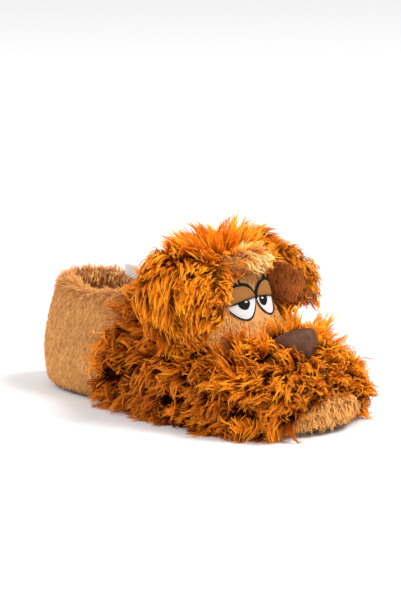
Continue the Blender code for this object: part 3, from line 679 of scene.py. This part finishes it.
class SlipperStage(bpy.types.PropertyGroup):
    """Where the camera stands and how the stage is lit."""

    azimuth: angle_property("Azimuth", "Turn of the camera round the slipper", 40)
    elevation: angle_property("Elevation", "Height of the camera over the floor", 13)
    distance: length_property("Distance", "From the camera to the slipper", 3.0)
    raised: length_property("Raised", "How far over the slipper's middle the camera aims", 0.0035)
    width_seen: length_property("Width seen", "Width of the view at the slipper", 0.300)
    floor: colour_property("Floor", "Floor and background", (0.88, 0.88, 0.88))
    key: number_property("Key light", "Power of the main light", 58.0, unit="POWER")
    fill: number_property("Fill light", "Power of the second light", 32.0, unit="POWER")
    sky: number_property("Sky", "Strength of the light all round", 0.66)


def colours():
    return bpy.context.scene.slipper_colours


def piles():
    return bpy.context.scene.slipper_pile


def shared(name, make, *settings):
    """The material of this name, made when it is first asked for."""
    return bpy.data.materials.get(name) or make(name, *settings)


def rust_finish():
    c = colours()
    return shared("rust_pile_long", pile_material, c.rust_root, c.rust, c.rust_tip)


def crest_finish():
    c = colours()
    return shared("rust_pile_crest", pile_material, scaled(c.rust, 0.55), c.rust_tip, c.rust_tip, 0.05, 0.45)


def ear_finish():
    c = colours()
    return shared("rust_pile_ear", pile_material, scaled(c.rust, 0.22), c.rust, c.rust_tip, 0.15, 0.60)


def tan_finish():
    c = colours()
    return shared("tan_pile_short", pile_material, c.tan_root, c.tan, c.tan_tip, 0.05, 0.50, 0.012)


def lining_finish():
    c = colours().lining
    return shared("ear_lining_short", pile_material, scaled(c, 0.45), c, scaled(c, 1.5), 0.05, 0.75, 0.012)


def tan_cloth():
    c = colours()
    return shared("tan_cloth", cloth_material, c.tan_root, c.tan_tip, 0.0012)


# Pieces


class SLIPPER_OT_sole(bpy.types.Operator):
    """Makes the fabric sole and the dots of grip underneath"""

    bl_idname = "slipper.sole"
    bl_label = "Sole"

    UP = Vector((0, 0, 1))
    UNDER_FLOOR = -0.01

    def execute(self, context):
        mesh = smooth_mesh("outsole", 1)
        mesh.transform(Matrix.Translation((0.0, 0.0, DOT_HEIGHT)))
        sole = plain_object("outsole_fabric", mesh, weave_material("sole_fabric", colours().sole, 0.0011))
        finished(sole, "outsole", slot="sole")
        grip = skin_object("grip_dots", self.dots(Skin(*arrays_of(mesh))), self.grip_rubber())
        finished(grip, slot="sole")
        return {"FINISHED"}

    def dots(self, skin):
        """Small domes in staggered rows over the flat underside, inside its edge."""
        tree = skin.tree()
        low, high = skin.points.min(axis=0), skin.points.max(axis=0)
        turn = np.linspace(0, 2 * math.pi, DOT_SIDES, endpoint=False)

        def ring(radius, z):
            return [(x + radius * math.cos(a), y + radius * math.sin(a), z) for a in turn]

        points, triangles = [], []
        for row, x in enumerate(np.arange(low[0] + DOT_PITCH, high[0], DOT_PITCH)):
            for y in np.arange(low[1] + DOT_PITCH * (1 + 0.5 * (row % 2)), high[1], DOT_PITCH):
                rim = ring(DOT_ROOM * DOT, self.UNDER_FLOOR)
                if any(tree.ray_cast(Vector(place), self.UP)[0] is None for place in rim):
                    continue
                foot = tree.ray_cast(Vector((x, y, self.UNDER_FLOOR)), self.UP)[0].z
                start = len(points)
                inner = start + DOT_SIDES
                points += ring(DOT, foot) + ring(0.75 * DOT, foot - 0.7 * DOT_HEIGHT)
                points.append((x, y, foot - DOT_HEIGHT))
                for k in range(DOT_SIDES):
                    after = (k + 1) % DOT_SIDES
                    triangles.append((start + k, inner + k, inner + after))
                    triangles.append((start + k, inner + after, start + after))
                    triangles.append((inner + k, inner + DOT_SIDES, inner + after))
        return Skin(np.array(points), np.array(triangles))

    @staticmethod
    def grip_rubber():
        look = Look("grip_rubber", 0.6)
        speckle = look.node("TexNoise", Scale=900.0)
        c = colours().sole
        look.paint(speckle, "Fac", [(0.35, scaled(c, 0.45)), (0.65, scaled(c, 0.6))])
        return look.material


class SLIPPER_OT_insole(bpy.types.Operator):
    """Makes the padded footbed"""

    bl_idname = "slipper.insole"
    bl_label = "Footbed"

    def execute(self, context):
        pad = skin_object("insole_pad", smooth_skin("insole", 1), tan_cloth())
        finished(pad, "insole", slot="insole", pad=0.7)
        return {"FINISHED"}


class SLIPPER_OT_upper(bpy.types.Operator):
    """Makes the padded shell, and the short pile on its heel, rim, chin and lining"""

    bl_idname = "slipper.upper"
    bl_label = "Upper"

    TAB_ROOM = np.array([0.002, 0.006, 0.008])
    BELOW_TAB = 0.080
    RIM_START, RIM_SPAN = 0.074, 0.012
    RIM_LONGER = 1.3
    FRINGE_OVERLAP = 0.004
    LINING_SEEN_FROM = 0.035

    def execute(self, context):
        shell = plain_object("upper_shell", smooth_mesh("upper", 1), tan_cloth())
        finished(shell, "upper", slot="tan_pile", pad=0.6)
        skin = smooth_skin("upper", 2)
        outside = outside_of_upper(skin)
        outer, lining = skin.part(outside), skin.part(~outside)
        low, high = (np.array(corner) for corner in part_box("label"))
        short = piles().short

        def off_tab(p):
            return ~np.all((p > low - self.TAB_ROOM) & (p < high + self.TAB_ROOM), axis=1)

        def short_outside(p):
            x, y, z = p.T
            heel = ~on_long_side(p) & (x < cheek_x(z)) & ~under_head(p, 0.0)
            return heel & (z > SOLE_FRINGE) & (off_tab(p) | (z < self.BELOW_TAB) | (y > high[1]))

        def along_sole(p):
            x, y, z = p.T
            return (z < SOLE_FRINGE + self.FRINGE_OVERLAP) & (x < seam_x(z)) & (z > SOLE_THICKNESS)

        def in_view(p):
            return (p[:, 0] < 0.0) & (p[:, 2] > self.LINING_SEEN_FROM) & off_tab(p)

        def hanging(p):
            return np.array([0.3, 0.0, -1.0]) + unit(p * [1.0, 1.0, 0.0]) * 0.1

        def fringe_length(p):
            return np.minimum(short, p[:, 2] * 0.95)

        def rim(p):
            """1 on the rim of the collar, 0 well below it."""
            return slope(p[:, 2], self.RIM_START, self.RIM_SPAN)

        def short_length(p):
            return short * (1 + self.RIM_LONGER * rim(p))

        def short_stand(p):
            return SHORT_TUFTS.stand + rim(p)

        rng = np.random.default_rng(21)
        on_heel = {"keep": short_outside, "stand": short_stand, "twist": SHORT_TWIST}
        tufts = grow(outer, SHORT_TUFTS, short_length, BRUSHED_BACK, rng, **on_heel)
        fringe = grow(outer, SHORT_TUFTS, fringe_length, hanging, rng, keep=along_sole, twist=SHORT_TWIST)
        finished(pile_object("heel_pile", [tufts, fringe], tan_finish()), slot="tan_pile")
        # The chin's pile is made paler with painted light, against the muzzle's shadow over it.
        chin = grow(outer, CHIN_TUFTS, piles().chin, hanging, rng, keep=on_chin, shade=0.36)
        finished(pile_object("chin_pile", [chin], tan_finish()), slot="tan_pile")
        # The lining's pile is made paler with painted light, against the shade inside the collar.
        inside = grow(lining, LINING_TUFTS, 2.0 * short, BRUSHED_BACK, rng, keep=in_view, shade=0.3)
        finished(pile_object("lining_pile", [inside], tan_finish()), slot="tan_pile")
        return {"FINISHED"}


class SLIPPER_OT_sides(bpy.types.Operator):
    """Makes the long curly pile of both sides"""

    bl_idname = "slipper.sides"
    bl_label = "Side pile"

    SEEDS = {"right": 31, "left": 32}

    def execute(self, context):
        outer = outer_upper()
        centres = outer.centres()
        for side, word in SIDES:
            backing = outer.part(on_long_side(centres) & (centres[:, 1] * side > 0), lift=SIDE_PILE / 2)
            rng = np.random.default_rng(self.SEEDS[word])

            def hanging(p):
                """Down and back, and straight back along the collar."""
                high = slope(p[:, 2], 0.045, 0.025)[:, None]
                low = np.array([-0.45, 0.25 * side, -0.6])
                return low * (1 - high) + np.array([-1.0, 0.2 * side, 0.05]) * high

            def length(p):
                return piles().side * (1 - 0.30 * by_cheek(p))

            def shade(p):
                """Painted shade: the ear's shadow under it, the shade in the crease along the cheek's seam,
                and deeper shade towards the sole.
                """
                # ear: where the painted shadow under the ear lies
                ear = np.exp(-(((p[:, 0] + 0.010) / 0.040) ** 2) - ((p[:, 2] - 0.055) / 0.025) ** 2)
                return 0.03 - 0.34 * ear - 0.20 * by_cheek(p) - 0.26 * slope(0.045 - p[:, 2], 0.0, 0.030)

            locks = grow(backing, SIDE_LOCKS, length, hanging, rng, shade=shade)
            fur = pile_object("side_fur_" + word, [backing_mesh(backing), locks], rust_finish())
            finished(fur, "side_pile_" + word, slot="rust_pile")
        return {"FINISHED"}


class SLIPPER_OT_muzzle(bpy.types.Operator):
    """Makes the stuffed muzzle and its long pile, which fans out from the nose"""

    bl_idname = "slipper.muzzle"
    bl_label = "Muzzle"

    SEEDS = {"right": 41, "left": 42}

    def execute(self, context):
        outer = outer_upper()
        pad = outer.part(on_muzzle(outer.centres()), lift=stuffing)
        rust = colours().rust
        cloth = cloth_material("rust_backing", scaled(rust, 0.2), scaled(rust, 0.6), 0.0015)
        finished(skin_object("muzzle_pad", pad, cloth), "muzzle", slot="rust_pile", pad=0.8)
        low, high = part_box("nose")
        nose = np.array((low + high) / 2)

        def behind_nose(p):
            """1 on the top of the muzzle between nose and face, and 0 beside and before the nose."""
            return slope(nose[0] - 0.002 - p[:, 0], 0.0, 0.015) * slope(p[:, 2], 0.038, 0.010)

        def fanned(p):
            behind = behind_nose(p)[:, None]
            back, down = np.array([-0.3, 0.0, 0.0]), np.array([0.0, 0.0, -0.3])
            return unit(p - nose) + back * behind + down * (1 - behind)

        def stand(p):
            return MUZZLE_LOCKS.stand + 1.1 * behind_nose(p)

        def shade(p):
            """Painted light on the top of the muzzle and on its left side, which face the lamps, and painted
            shade in the crease along the cheek's seam.
            """
            top = 0.26 * slope(p[:, 2], 0.030, 0.030)
            left = 0.16 * slope(p[:, 1], 0.0, 0.030)
            return top + left - 0.05 - 0.20 * by_cheek(p)

        def length(p):
            """Shorter over the chin, before the face and at the seam, and longer behind the nose."""
            x, y, z = p.T
            above_chin = (x > 0.36 * SOLE_LENGTH) & (np.abs(y) < 0.30 * BALL_WIDTH)
            shortened = np.where(above_chin, slope(z, chin_top(y), 0.024, low=0.22), 1.0)
            longer = 1 + 0.15 * (z < 0.030) * ~above_chin + (0.34 + 0.25 * (y > 0.004)) * behind_nose(p)
            before_face = slope(x, 0.072, 0.014, low=0.45 + 0.35 * (y > 0.0))
            shortened = shortened * np.where(np.abs(y) < 0.016, before_face, 1.0)
            left_front = slope(x, 0.100, 0.020) * (y > 0.010)
            return piles().muzzle * shortened * longer * (1 - 0.35 * left_front) * (1 - 0.30 * by_cheek(p))

        for side, word in SIDES:
            rng = np.random.default_rng(self.SEEDS[word])

            def this_half(p):
                return (p[:, 1] * side > 0) & ~self.under_nose(p, low, high)

            locks = grow(pad, MUZZLE_LOCKS, length, fanned, rng, keep=this_half, shade=shade, stand=stand)
            finished(pile_object("muzzle_fur_" + word, [locks], rust_finish()), slot="rust_pile")
        return {"FINISHED"}

    @staticmethod
    def under_nose(p, low, high):
        middle = (low + high) / 2
        along = (p[:, 0] - middle.x) / (0.50 * (high.x - low.x))
        across = (p[:, 1] - middle.y) / (0.48 * (high.y - low.y))
        rise = (p[:, 2] - middle.z) / (0.60 * (high.z - low.z))
        return along**2 + across**2 + rise**2 < 1.0


# Half the width and half the height of the bare skin round both eyes
FACE_HALF_WIDTH, FACE_HALF_HEIGHT = 0.0275, 0.0145
# How high the crest starts on the nape and on the crown, and half its width
NAPE_LEVEL, CROWN_LEVEL, CREST_HALF_WIDTH = 0.092, 0.110, 0.030
# The height from which the ears' roots cover the head
EAR_ROOT_LEVEL = 0.100


def face_opening(p):
    """True over the eyes, which stay free of pile."""
    across = np.abs(p[:, 1]) / FACE_HALF_WIDTH
    rise = (p[:, 2] - EYE_LEVEL) / FACE_HALF_HEIGHT
    rounded = across**HEAD_SQUARENESS + np.abs(rise) ** HEAD_SQUARENESS
    return (rounded < 1.0) & (p[:, 0] > HEAD_START + 0.5 * HEAD_LENGTH)


def on_crown(p):
    """True where the long pile of the crest grows: over the crown and down the nape."""
    x, y, z = p.T
    back = (x < HEAD_START + 0.30 * HEAD_LENGTH) & (z > NAPE_LEVEL)
    top = (z > CROWN_LEVEL) & (x < HEAD_START + 0.66 * HEAD_LENGTH)
    return (back | top) & (np.abs(y) < CREST_HALF_WIDTH)


class SLIPPER_OT_head(bpy.types.Operator):
    """Makes the stuffed head and its short pile"""

    bl_idname = "slipper.head"
    bl_label = "Head"

    SEEN_FROM = 0.055

    def execute(self, context):
        mesh = smooth_mesh("head", 2)
        finished(plain_object("head_skin", mesh, tan_cloth()), "head", slot="tan_pile", pad=0.85)
        skin = Skin(*arrays_of(mesh))

        def seen(p):
            """Off the eyes, the crest and the strip between the ears' roots, which they cover."""
            x, y, z = p.T
            above = (z > EAR_ROOT_LEVEL) & (x < HEAD_START + 0.60 * HEAD_LENGTH)
            between_ears = above & (np.abs(y) < CREST_HALF_WIDTH)
            return (z > self.SEEN_FROM) & ~face_opening(p) & ~on_crown(p) & ~between_ears

        def paler_cheeks(p):
            return 0.26 * (p[:, 0] > HEAD_START + 0.6 * HEAD_LENGTH) * slope(0.088 - p[:, 2], 0.0, 0.008)

        rng = np.random.default_rng(51)
        look = {"keep": seen, "shade": paler_cheeks, "twist": SHORT_TWIST}
        tufts = grow(skin, SHORT_TUFTS, piles().short, BRUSHED_BACK, rng, **look)
        finished(pile_object("head_pile", [tufts], tan_finish()), slot="tan_pile")
        return {"FINISHED"}


class SLIPPER_OT_brow(bpy.types.Operator):
    """Makes the padded brow and the pale tuft in its middle"""

    bl_idname = "slipper.brow"
    bl_label = "Brow"

    FORWARD = (0.9, 0.1, -0.1)

    def execute(self, context):
        skin = smooth_skin("brow", 2)
        c = colours()
        rng = np.random.default_rng(61)

        def in_the_middle(p):
            return (np.abs(p[:, 1] - 0.003) < 0.012) & (p[:, 2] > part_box("brow")[0].z + 0.004)

        tufts = grow(skin, SHORT_TUFTS, 1.2 * piles().short, self.FORWARD, rng, shade=-0.08)
        brow = pile_object("brow_pile", [backing_mesh(skin), tufts], tan_finish())
        finished(brow, "brow", slot="tan_pile", pad=0.8)
        cream = pile_material("cream_pile", c.tan_tip, c.cream, c.cream, 0.05, 0.40, 0.010)
        tuft = grow(skin, BROW_TUFTS, piles().brow, self.FORWARD, rng, keep=in_the_middle, shade=0.28)
        finished(pile_object("brow_tuft", [tuft], cream), slot="tan_pile")
        return {"FINISHED"}


class SLIPPER_OT_crest(bpy.types.Operator):
    """Makes the shock of long pile on the crown and nape"""

    bl_idname = "slipper.crest"
    bl_label = "Crest"

    def execute(self, context):
        skin = smooth_skin("head", 2)
        middle = np.array([HEAD_START + 0.40 * HEAD_LENGTH, 0.0, 0.75 * HEAD_TOP])

        def standing(p):
            return unit(p - middle) * np.array([1.2, 1.2, 0.2]) + np.array([-0.15, 0.0, 0.35])

        def length(p):
            nape = np.clip(0.40 + (p[:, 0] - HEAD_START) / (0.5 * HEAD_LENGTH), 0.40, 1.0)
            over_brow = slope(HEAD_START + 0.70 * HEAD_LENGTH - p[:, 0], 0.0, 0.02, low=0.60)
            return piles().crest * np.minimum(nape, over_brow)

        patch = skin.part(on_crown(skin.centres()), lift=0.002)
        rng = np.random.default_rng(71)
        # Painted light on the crest, which is lit from above.
        locks = grow(patch, CREST_LOCKS, length, standing, rng, shade=0.15)
        crest = pile_object("crest_fur", [backing_mesh(patch), locks], crest_finish())
        finished(crest, "crest", slot="rust_pile")
        return {"FINISHED"}


class SLIPPER_OT_ears(bpy.types.Operator):
    """Makes both ears: long pile outside, short pile inside"""

    bl_idname = "slipper.ears"
    bl_label = "Ears"

    SEEDS = {"right": 81, "left": 82}

    def execute(self, context):
        core = np.array([HEAD_START + 0.5 * HEAD_LENGTH, 0.0, 0.5 * HEAD_TOP])
        for side, word in SIDES:
            flap = smooth_skin("ear_lining_" + word, 2)
            outward = np.einsum("ij,ij->i", flap.centres() - core, flap.facings()) > 0
            root = np.array([HEAD_START + 0.28 * HEAD_LENGTH, side * 0.30 * HEAD_WIDTH, HEAD_TOP])
            inner = flap.part(~outward)
            seen_side = inner.tree()
            low, high = (np.array(corner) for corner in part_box("ear_" + word))
            outermost = np.abs([low[1], high[1]]).max()
            tip = np.array([low[0] + 0.70 * (high[0] - low[0]), side * outermost, low[2]])

            def from_root(p):
                """Down from the root, and along the front edge to the tip."""
                front = slope(p[:, 0] - root[0], 0.005, 0.020)[:, None]
                spread = unit(p - root) + np.array([0.0, 0.0, -0.35])
                return spread * (1 - 0.85 * front) + unit(tip - p) * 1.3 * front

            def length(p):
                """Shorter along the front edge, where the lining shows, and behind the root."""
                off_edge = np.array([seen_side.find_nearest(Vector(place))[3] for place in p])
                front = np.where(p[:, 0] > root[0] + 0.015, slope(off_edge, 0.002, 0.008, low=0.45), 1.0)
                back = np.where((p[:, 0] < root[0]) & (p[:, 2] > EAR_ROOT_LEVEL), 0.45, 1.0)
                return piles().ear * front * back

            def painted_fold_shade(p):
                """Painted shade in the fold at the top of the lining, and lighter below it."""
                return 0.16 - 0.34 * slope(p[:, 2], EAR_ROOT_LEVEL, 0.020)

            rng = np.random.default_rng(self.SEEDS[word])
            outer = flap.part(outward, lift=EAR_PILE / 2)
            # Painted light on the outside of the ear.
            locks = grow(outer, EAR_LOCKS, length, from_root, rng, shade=0.13)
            ear = pile_object("ear_fur_" + word, [backing_mesh(outer), locks], ear_finish())
            finished(ear, "ear_" + word, slot="rust_pile")
            tufts = grow(inner, SHORT_TUFTS, 1.5 * piles().short, from_root, rng, shade=painted_fold_shade)
            lining = pile_object("ear_lining_pile_" + word, [backing_mesh(inner), tufts], lining_finish())
            finished(lining, "ear_lining_" + word, slot="tan_pile")
        return {"FINISHED"}


class EyeDrawing:
    """Layers of stitching laid on the face, drawn in the plane across the slipper."""

    def __init__(self, side, tree):
        self.side, self.tree = side, tree
        self.points, self.faces, self.inks = [], [], []

    def boundary(self, angles, size=1.0):
        """Points round the eye, which narrows downwards. Angle 0 is at its outer corner."""
        narrow = 1.0 - EYE_NARROWING * np.maximum(0.0, -np.sin(angles))
        across = EYE_APART + size * narrow * EYE_WIDTH / 2 * np.cos(angles)
        rise = EYE_LEVEL + size * EYE_HEIGHT / 2 * np.sin(angles)
        return np.stack([across, rise], axis=1)

    def lay(self, lower, upper, height, ink, rows=6):
        """A raised patch between two lines of points of equal number."""
        start, columns = len(self.points), len(lower)
        for i in range(rows + 1):
            share = i / rows
            puff = height * (1.0 - 0.55 * abs(2 * share - 1) ** 4)
            for a, b in zip(lower, upper):
                across, rise = a + (b - a) * share
                before = Vector((2 * HEAD_TOP, self.side * across, rise))
                hit, normal = self.tree.ray_cast(before, Vector((-1.0, 0.0, 0.0)))[:2]
                if hit is None:
                    raise RuntimeError("the eye reaches past the face")
                self.points.append(hit + normal * puff)
        for i in range(rows):
            for k in range(columns - 1):
                corner = start + i * columns + k
                face = [corner, corner + 1, corner + columns + 1, corner + columns]
                self.faces.append(face if self.side > 0 else face[::-1])
                self.inks.append(ink)

    def line(self, path, width, height, ink):
        """A stitched line along a path, tapering at both ends."""
        way = unit(np.gradient(path, axis=0))
        beside = np.stack([-way[:, 1], way[:, 0]], axis=1)
        place = np.linspace(-1, 1, len(path))
        half = (width / 2 * (1 - 0.7 * np.abs(place) ** 5))[:, None]
        self.lay(path - beside * half, path + beside * half, height, ink, rows=2)

    def outline(self, first, last, count, size, width, height, ink):
        """A stitched line round the eye from one angle to another, in degrees."""
        angles = np.linspace(math.radians(first), math.radians(last), count)
        self.line(self.boundary(angles, size), width, height, ink)


class SLIPPER_OT_eyes(bpy.types.Operator):
    """Makes the embroidered eyes: white, pupil, drooping lid, outlines and lashes"""

    bl_idname = "slipper.eyes"
    bl_label = "Eyes"

    WHITE, PUPIL, LID, GLINT = range(4)
    PUPIL_ACROSS, PUPIL_LEVEL, PUPIL_ROUND = 0.0103, 0.0877, 0.0050
    PUPIL_ASIDE = 0.0020
    GLINT_ROUND = 0.0011
    # Each lash: where it stands on the eye's outline in degrees, and how far it leans outwards
    LASHES = ((38, 0.35), (62, 0.10), (88, -0.1))
    LASH_LENGTH = 0.0034

    def execute(self, context):
        tree = smooth_skin("head", 2).tree()
        c = colours()
        inks = [
            thread_material("eye_white", c.white),
            thread_material("eye_black", c.black, roughness=0.35),
            thread_material("eye_lid", c.lid),
            thread_material("eye_glint", (0.95, 0.95, 0.95)),
        ]
        for side, word in SIDES:
            drawing = EyeDrawing(side, tree)
            self.draw(drawing)
            mesh = bpy.data.meshes.new("eye_stitching_" + word)
            mesh.from_pydata([tuple(p) for p in drawing.points], [], drawing.faces)
            eye = plain_object("eye_stitching_" + word, mesh, inks[self.WHITE])
            for ink in inks[1:]:
                mesh.materials.append(ink)
            mesh.polygons.foreach_set("material_index", drawing.inks)
            finished(eye, "eye_" + word, slot="embroidery")
        return {"FINISHED"}

    def lid_edge(self, across):
        """The lower edge of the lid, which droops to the outer corner."""
        share = across / (EYE_APART + EYE_WIDTH / 2)
        return EYE_LEVEL + 0.0020 - 0.0010 * share - 0.0040 * share**2

    def draw(self, drawing):
        top_line = drawing.boundary(np.linspace(math.pi, 0, 31))
        low_line = drawing.boundary(np.linspace(math.pi, 2 * math.pi, 31))
        drawing.lay(low_line, top_line, 0.0010, self.WHITE, rows=10)
        across = np.linspace(EYE_APART - 0.497 * EYE_WIDTH, EYE_APART + 0.497 * EYE_WIDTH, 31)
        top = np.interp(across, *top_line.T)
        low = np.interp(across, *low_line.T)
        edge = np.minimum(np.maximum(self.lid_edge(across), low), top)
        lid = np.stack([across, edge], 1)
        drawing.lay(lid, np.stack([across, top], 1), 0.0020, self.LID)
        drawing.line(lid[1:-1], 0.0011, 0.0023, self.PUPIL)
        aside = self.PUPIL_ACROSS - drawing.side * self.PUPIL_ASIDE
        turn = np.linspace(math.pi, 0, 21)
        y = aside + self.PUPIL_ROUND * np.cos(turn)
        rise = self.PUPIL_ROUND * np.sin(turn)
        foot = self.PUPIL_LEVEL - rise
        high = np.minimum(self.PUPIL_LEVEL + rise, self.lid_edge(y))
        drawing.lay(np.stack([y, foot], 1), np.stack([y, np.maximum(high, foot)], 1), 0.0016, self.PUPIL)
        glint = np.array([aside - 0.0015, self.PUPIL_LEVEL + 0.0010])
        spot = np.stack([np.cos(turn), np.sin(turn)], 1) * self.GLINT_ROUND
        drawing.lay(glint + spot * [1, -1], glint + spot, 0.0020, self.GLINT, rows=3)
        drawing.outline(176, 2, 41, 0.98, 0.0032, 0.0026, self.PUPIL)
        drawing.outline(172, 350, 31, 0.97, 0.0012, 0.0016, self.PUPIL)
        for degrees, lean in self.LASHES:
            turned = math.radians(degrees)
            foot = drawing.boundary(np.array([turned]), 0.97)[0]
            tip = foot + np.array([math.cos(turned) + lean, math.sin(turned)]) * self.LASH_LENGTH
            path = foot + (tip - foot) * np.linspace(0, 1, 7)[:, None]
            drawing.line(path, 0.0012, 0.0026, self.PUPIL)


class SLIPPER_OT_nose(bpy.types.Operator):
    """Makes the stuffed velour nose"""

    bl_idname = "slipper.nose"
    bl_label = "Nose"

    def execute(self, context):
        c = colours().nose
        # Pale and dark patches from 0.4 to 2.4 times the nose's colour: partly the velour's own uneven nap,
        # partly painted highlight and shade standing in for its lit facets.
        velour = cloth_material("nose_velour", scaled(c, 0.4), scaled(c, 2.4), 0.0008, 0.7, 0.0, 0.0003)
        nose = plain_object("nose_pillow", smooth_mesh("nose", 2), velour)
        finished(nose, "nose", slot="nose_velour", pad=0.9)
        return {"FINISHED"}


class SLIPPER_OT_tab(bpy.types.Operator):
    """Makes the blank woven tab inside the collar, tall enough to show over the pile of the rim"""

    bl_idname = "slipper.tab"
    bl_label = "Tab"

    TALLER = 0.0090
    SET_BACK = 0.004
    CREASE = 0.75

    def execute(self, context):
        mesh = smooth_mesh("label", 2, self.CREASE)
        low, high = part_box("label")
        stretch = 1 + self.TALLER / (high.z - low.z)
        back = Matrix.Translation((-self.SET_BACK, 0.0, low.z * (1 - stretch)))
        mesh.transform(back @ Matrix.Diagonal((1.0, 1.0, stretch, 1.0)))
        # The weave's gaps stay nearly as pale as its threads: painted light on a tab that sits in shade.
        tab = plain_object("collar_tab", mesh, weave_material("tab_weave", colours().tab, 0.0005, 0.92))
        finished(tab, "label", slot="label")
        return {"FINISHED"}


class SLIPPER_OT_stage(bpy.types.Operator):
    """Makes the floor, the lights and the camera"""

    bl_idname = "slipper.stage"
    bl_label = "Stage"

    FLOOR_SIZE = 12.0
    SENSOR = 0.036
    VIEW_END = 30.0

    def execute(self, context):
        setting = context.scene.slipper_stage
        bpy.ops.mesh.primitive_plane_add(size=self.FLOOR_SIZE)
        floor = context.object
        floor.name = "studio_floor"
        look = Look("floor_paint", 0.9)
        look.shader.inputs["Base Color"].default_value = (*setting.floor, 1.0)
        floor.data.materials.append(look.material)
        low, high = (Vector(corner) for corner in CAD_BOX)
        centre = (low + high) / 2
        self.add_light("key_light", (1.2, 0.6, 2.1), 1.2, setting.key, centre)
        self.add_light("fill_light", (-1.5, -1.3, 1.2), 1.6, setting.fill, centre)
        world = bpy.data.worlds.new("studio_world")
        world.use_nodes = True
        sky = world.node_tree.nodes["Background"]
        sky.inputs["Color"].default_value = (1.0, 1.0, 1.0, 1.0)
        sky.inputs["Strength"].default_value = setting.sky
        context.scene.world = world
        context.scene.view_settings.view_transform = "Standard"
        self.add_camera(context, setting, centre)
        return {"FINISHED"}

    def add_light(self, name, place, size, power, target):
        lamp = bpy.data.lights.new(name, "AREA")
        lamp.shape = "DISK"
        lamp.size = size
        lamp.energy = power
        holder = bpy.data.objects.new(name, lamp)
        holder.location = place
        holder.rotation_euler = (target - Vector(place)).to_track_quat("-Z", "Y").to_euler()
        bpy.context.scene.collection.objects.link(holder)

    def add_camera(self, context, setting, centre):
        lens = bpy.data.cameras.new("camera")
        lens.sensor_fit = "HORIZONTAL"
        lens.sensor_width = 1000 * self.SENSOR
        lens.lens = 1000 * self.SENSOR * setting.distance / setting.width_seen
        lens.clip_end = self.VIEW_END
        camera = bpy.data.objects.new("camera", lens)
        a, e = setting.azimuth, setting.elevation
        back = Vector((math.sin(a) * math.cos(e), -math.cos(a) * math.cos(e), math.sin(e)))
        camera.location = centre + back * setting.distance + Vector((0.0, 0.0, setting.raised))
        camera.rotation_euler = back.to_track_quat("Z", "Y").to_euler()
        context.scene.collection.objects.link(camera)
        context.scene.camera = camera


STEPS = (
    SLIPPER_OT_sole,
    SLIPPER_OT_insole,
    SLIPPER_OT_upper,
    SLIPPER_OT_sides,
    SLIPPER_OT_muzzle,
    SLIPPER_OT_head,
    SLIPPER_OT_brow,
    SLIPPER_OT_crest,
    SLIPPER_OT_ears,
    SLIPPER_OT_eyes,
    SLIPPER_OT_nose,
    SLIPPER_OT_tab,
    SLIPPER_OT_stage,
)


class SLIPPER_PT_panel(bpy.types.Panel):
    """Lists the slipper's settings and the steps that make it"""

    bl_label = "Slipper"
    bl_idname = "SLIPPER_PT_panel"
    bl_space_type = "VIEW_3D"
    bl_region_type = "UI"
    bl_category = "Slipper"

    def draw(self, context):
        scene = context.scene
        for group in (scene.slipper_colours, scene.slipper_pile, scene.slipper_stage):
            box = self.layout.box()
            for name in group.__annotations__:
                box.prop(group, name)
        for step in STEPS:
            self.layout.operator(step.bl_idname)


CLASSES = (SlipperColours, SlipperPile, SlipperStage, *STEPS, SLIPPER_PT_panel)


def register():
    for each in CLASSES:
        bpy.utils.register_class(each)
    bpy.types.Scene.slipper_colours = bpy.props.PointerProperty(type=SlipperColours)
    bpy.types.Scene.slipper_pile = bpy.props.PointerProperty(type=SlipperPile)
    bpy.types.Scene.slipper_stage = bpy.props.PointerProperty(type=SlipperStage)


def unregister():
    del bpy.types.Scene.slipper_stage
    del bpy.types.Scene.slipper_pile
    del bpy.types.Scene.slipper_colours
    for each in reversed(CLASSES):
        bpy.utils.unregister_class(each)


def main():
    register()
    bpy.ops.slipper.sole()
    bpy.ops.slipper.insole()
    bpy.ops.slipper.upper()
    bpy.ops.slipper.sides()
    bpy.ops.slipper.muzzle()
    bpy.ops.slipper.head()
    bpy.ops.slipper.brow()
    bpy.ops.slipper.crest()
    bpy.ops.slipper.ears()
    bpy.ops.slipper.eyes()
    bpy.ops.slipper.nose()
    bpy.ops.slipper.tab()
    bpy.ops.slipper.stage()


if __name__ == "__main__":
    main()
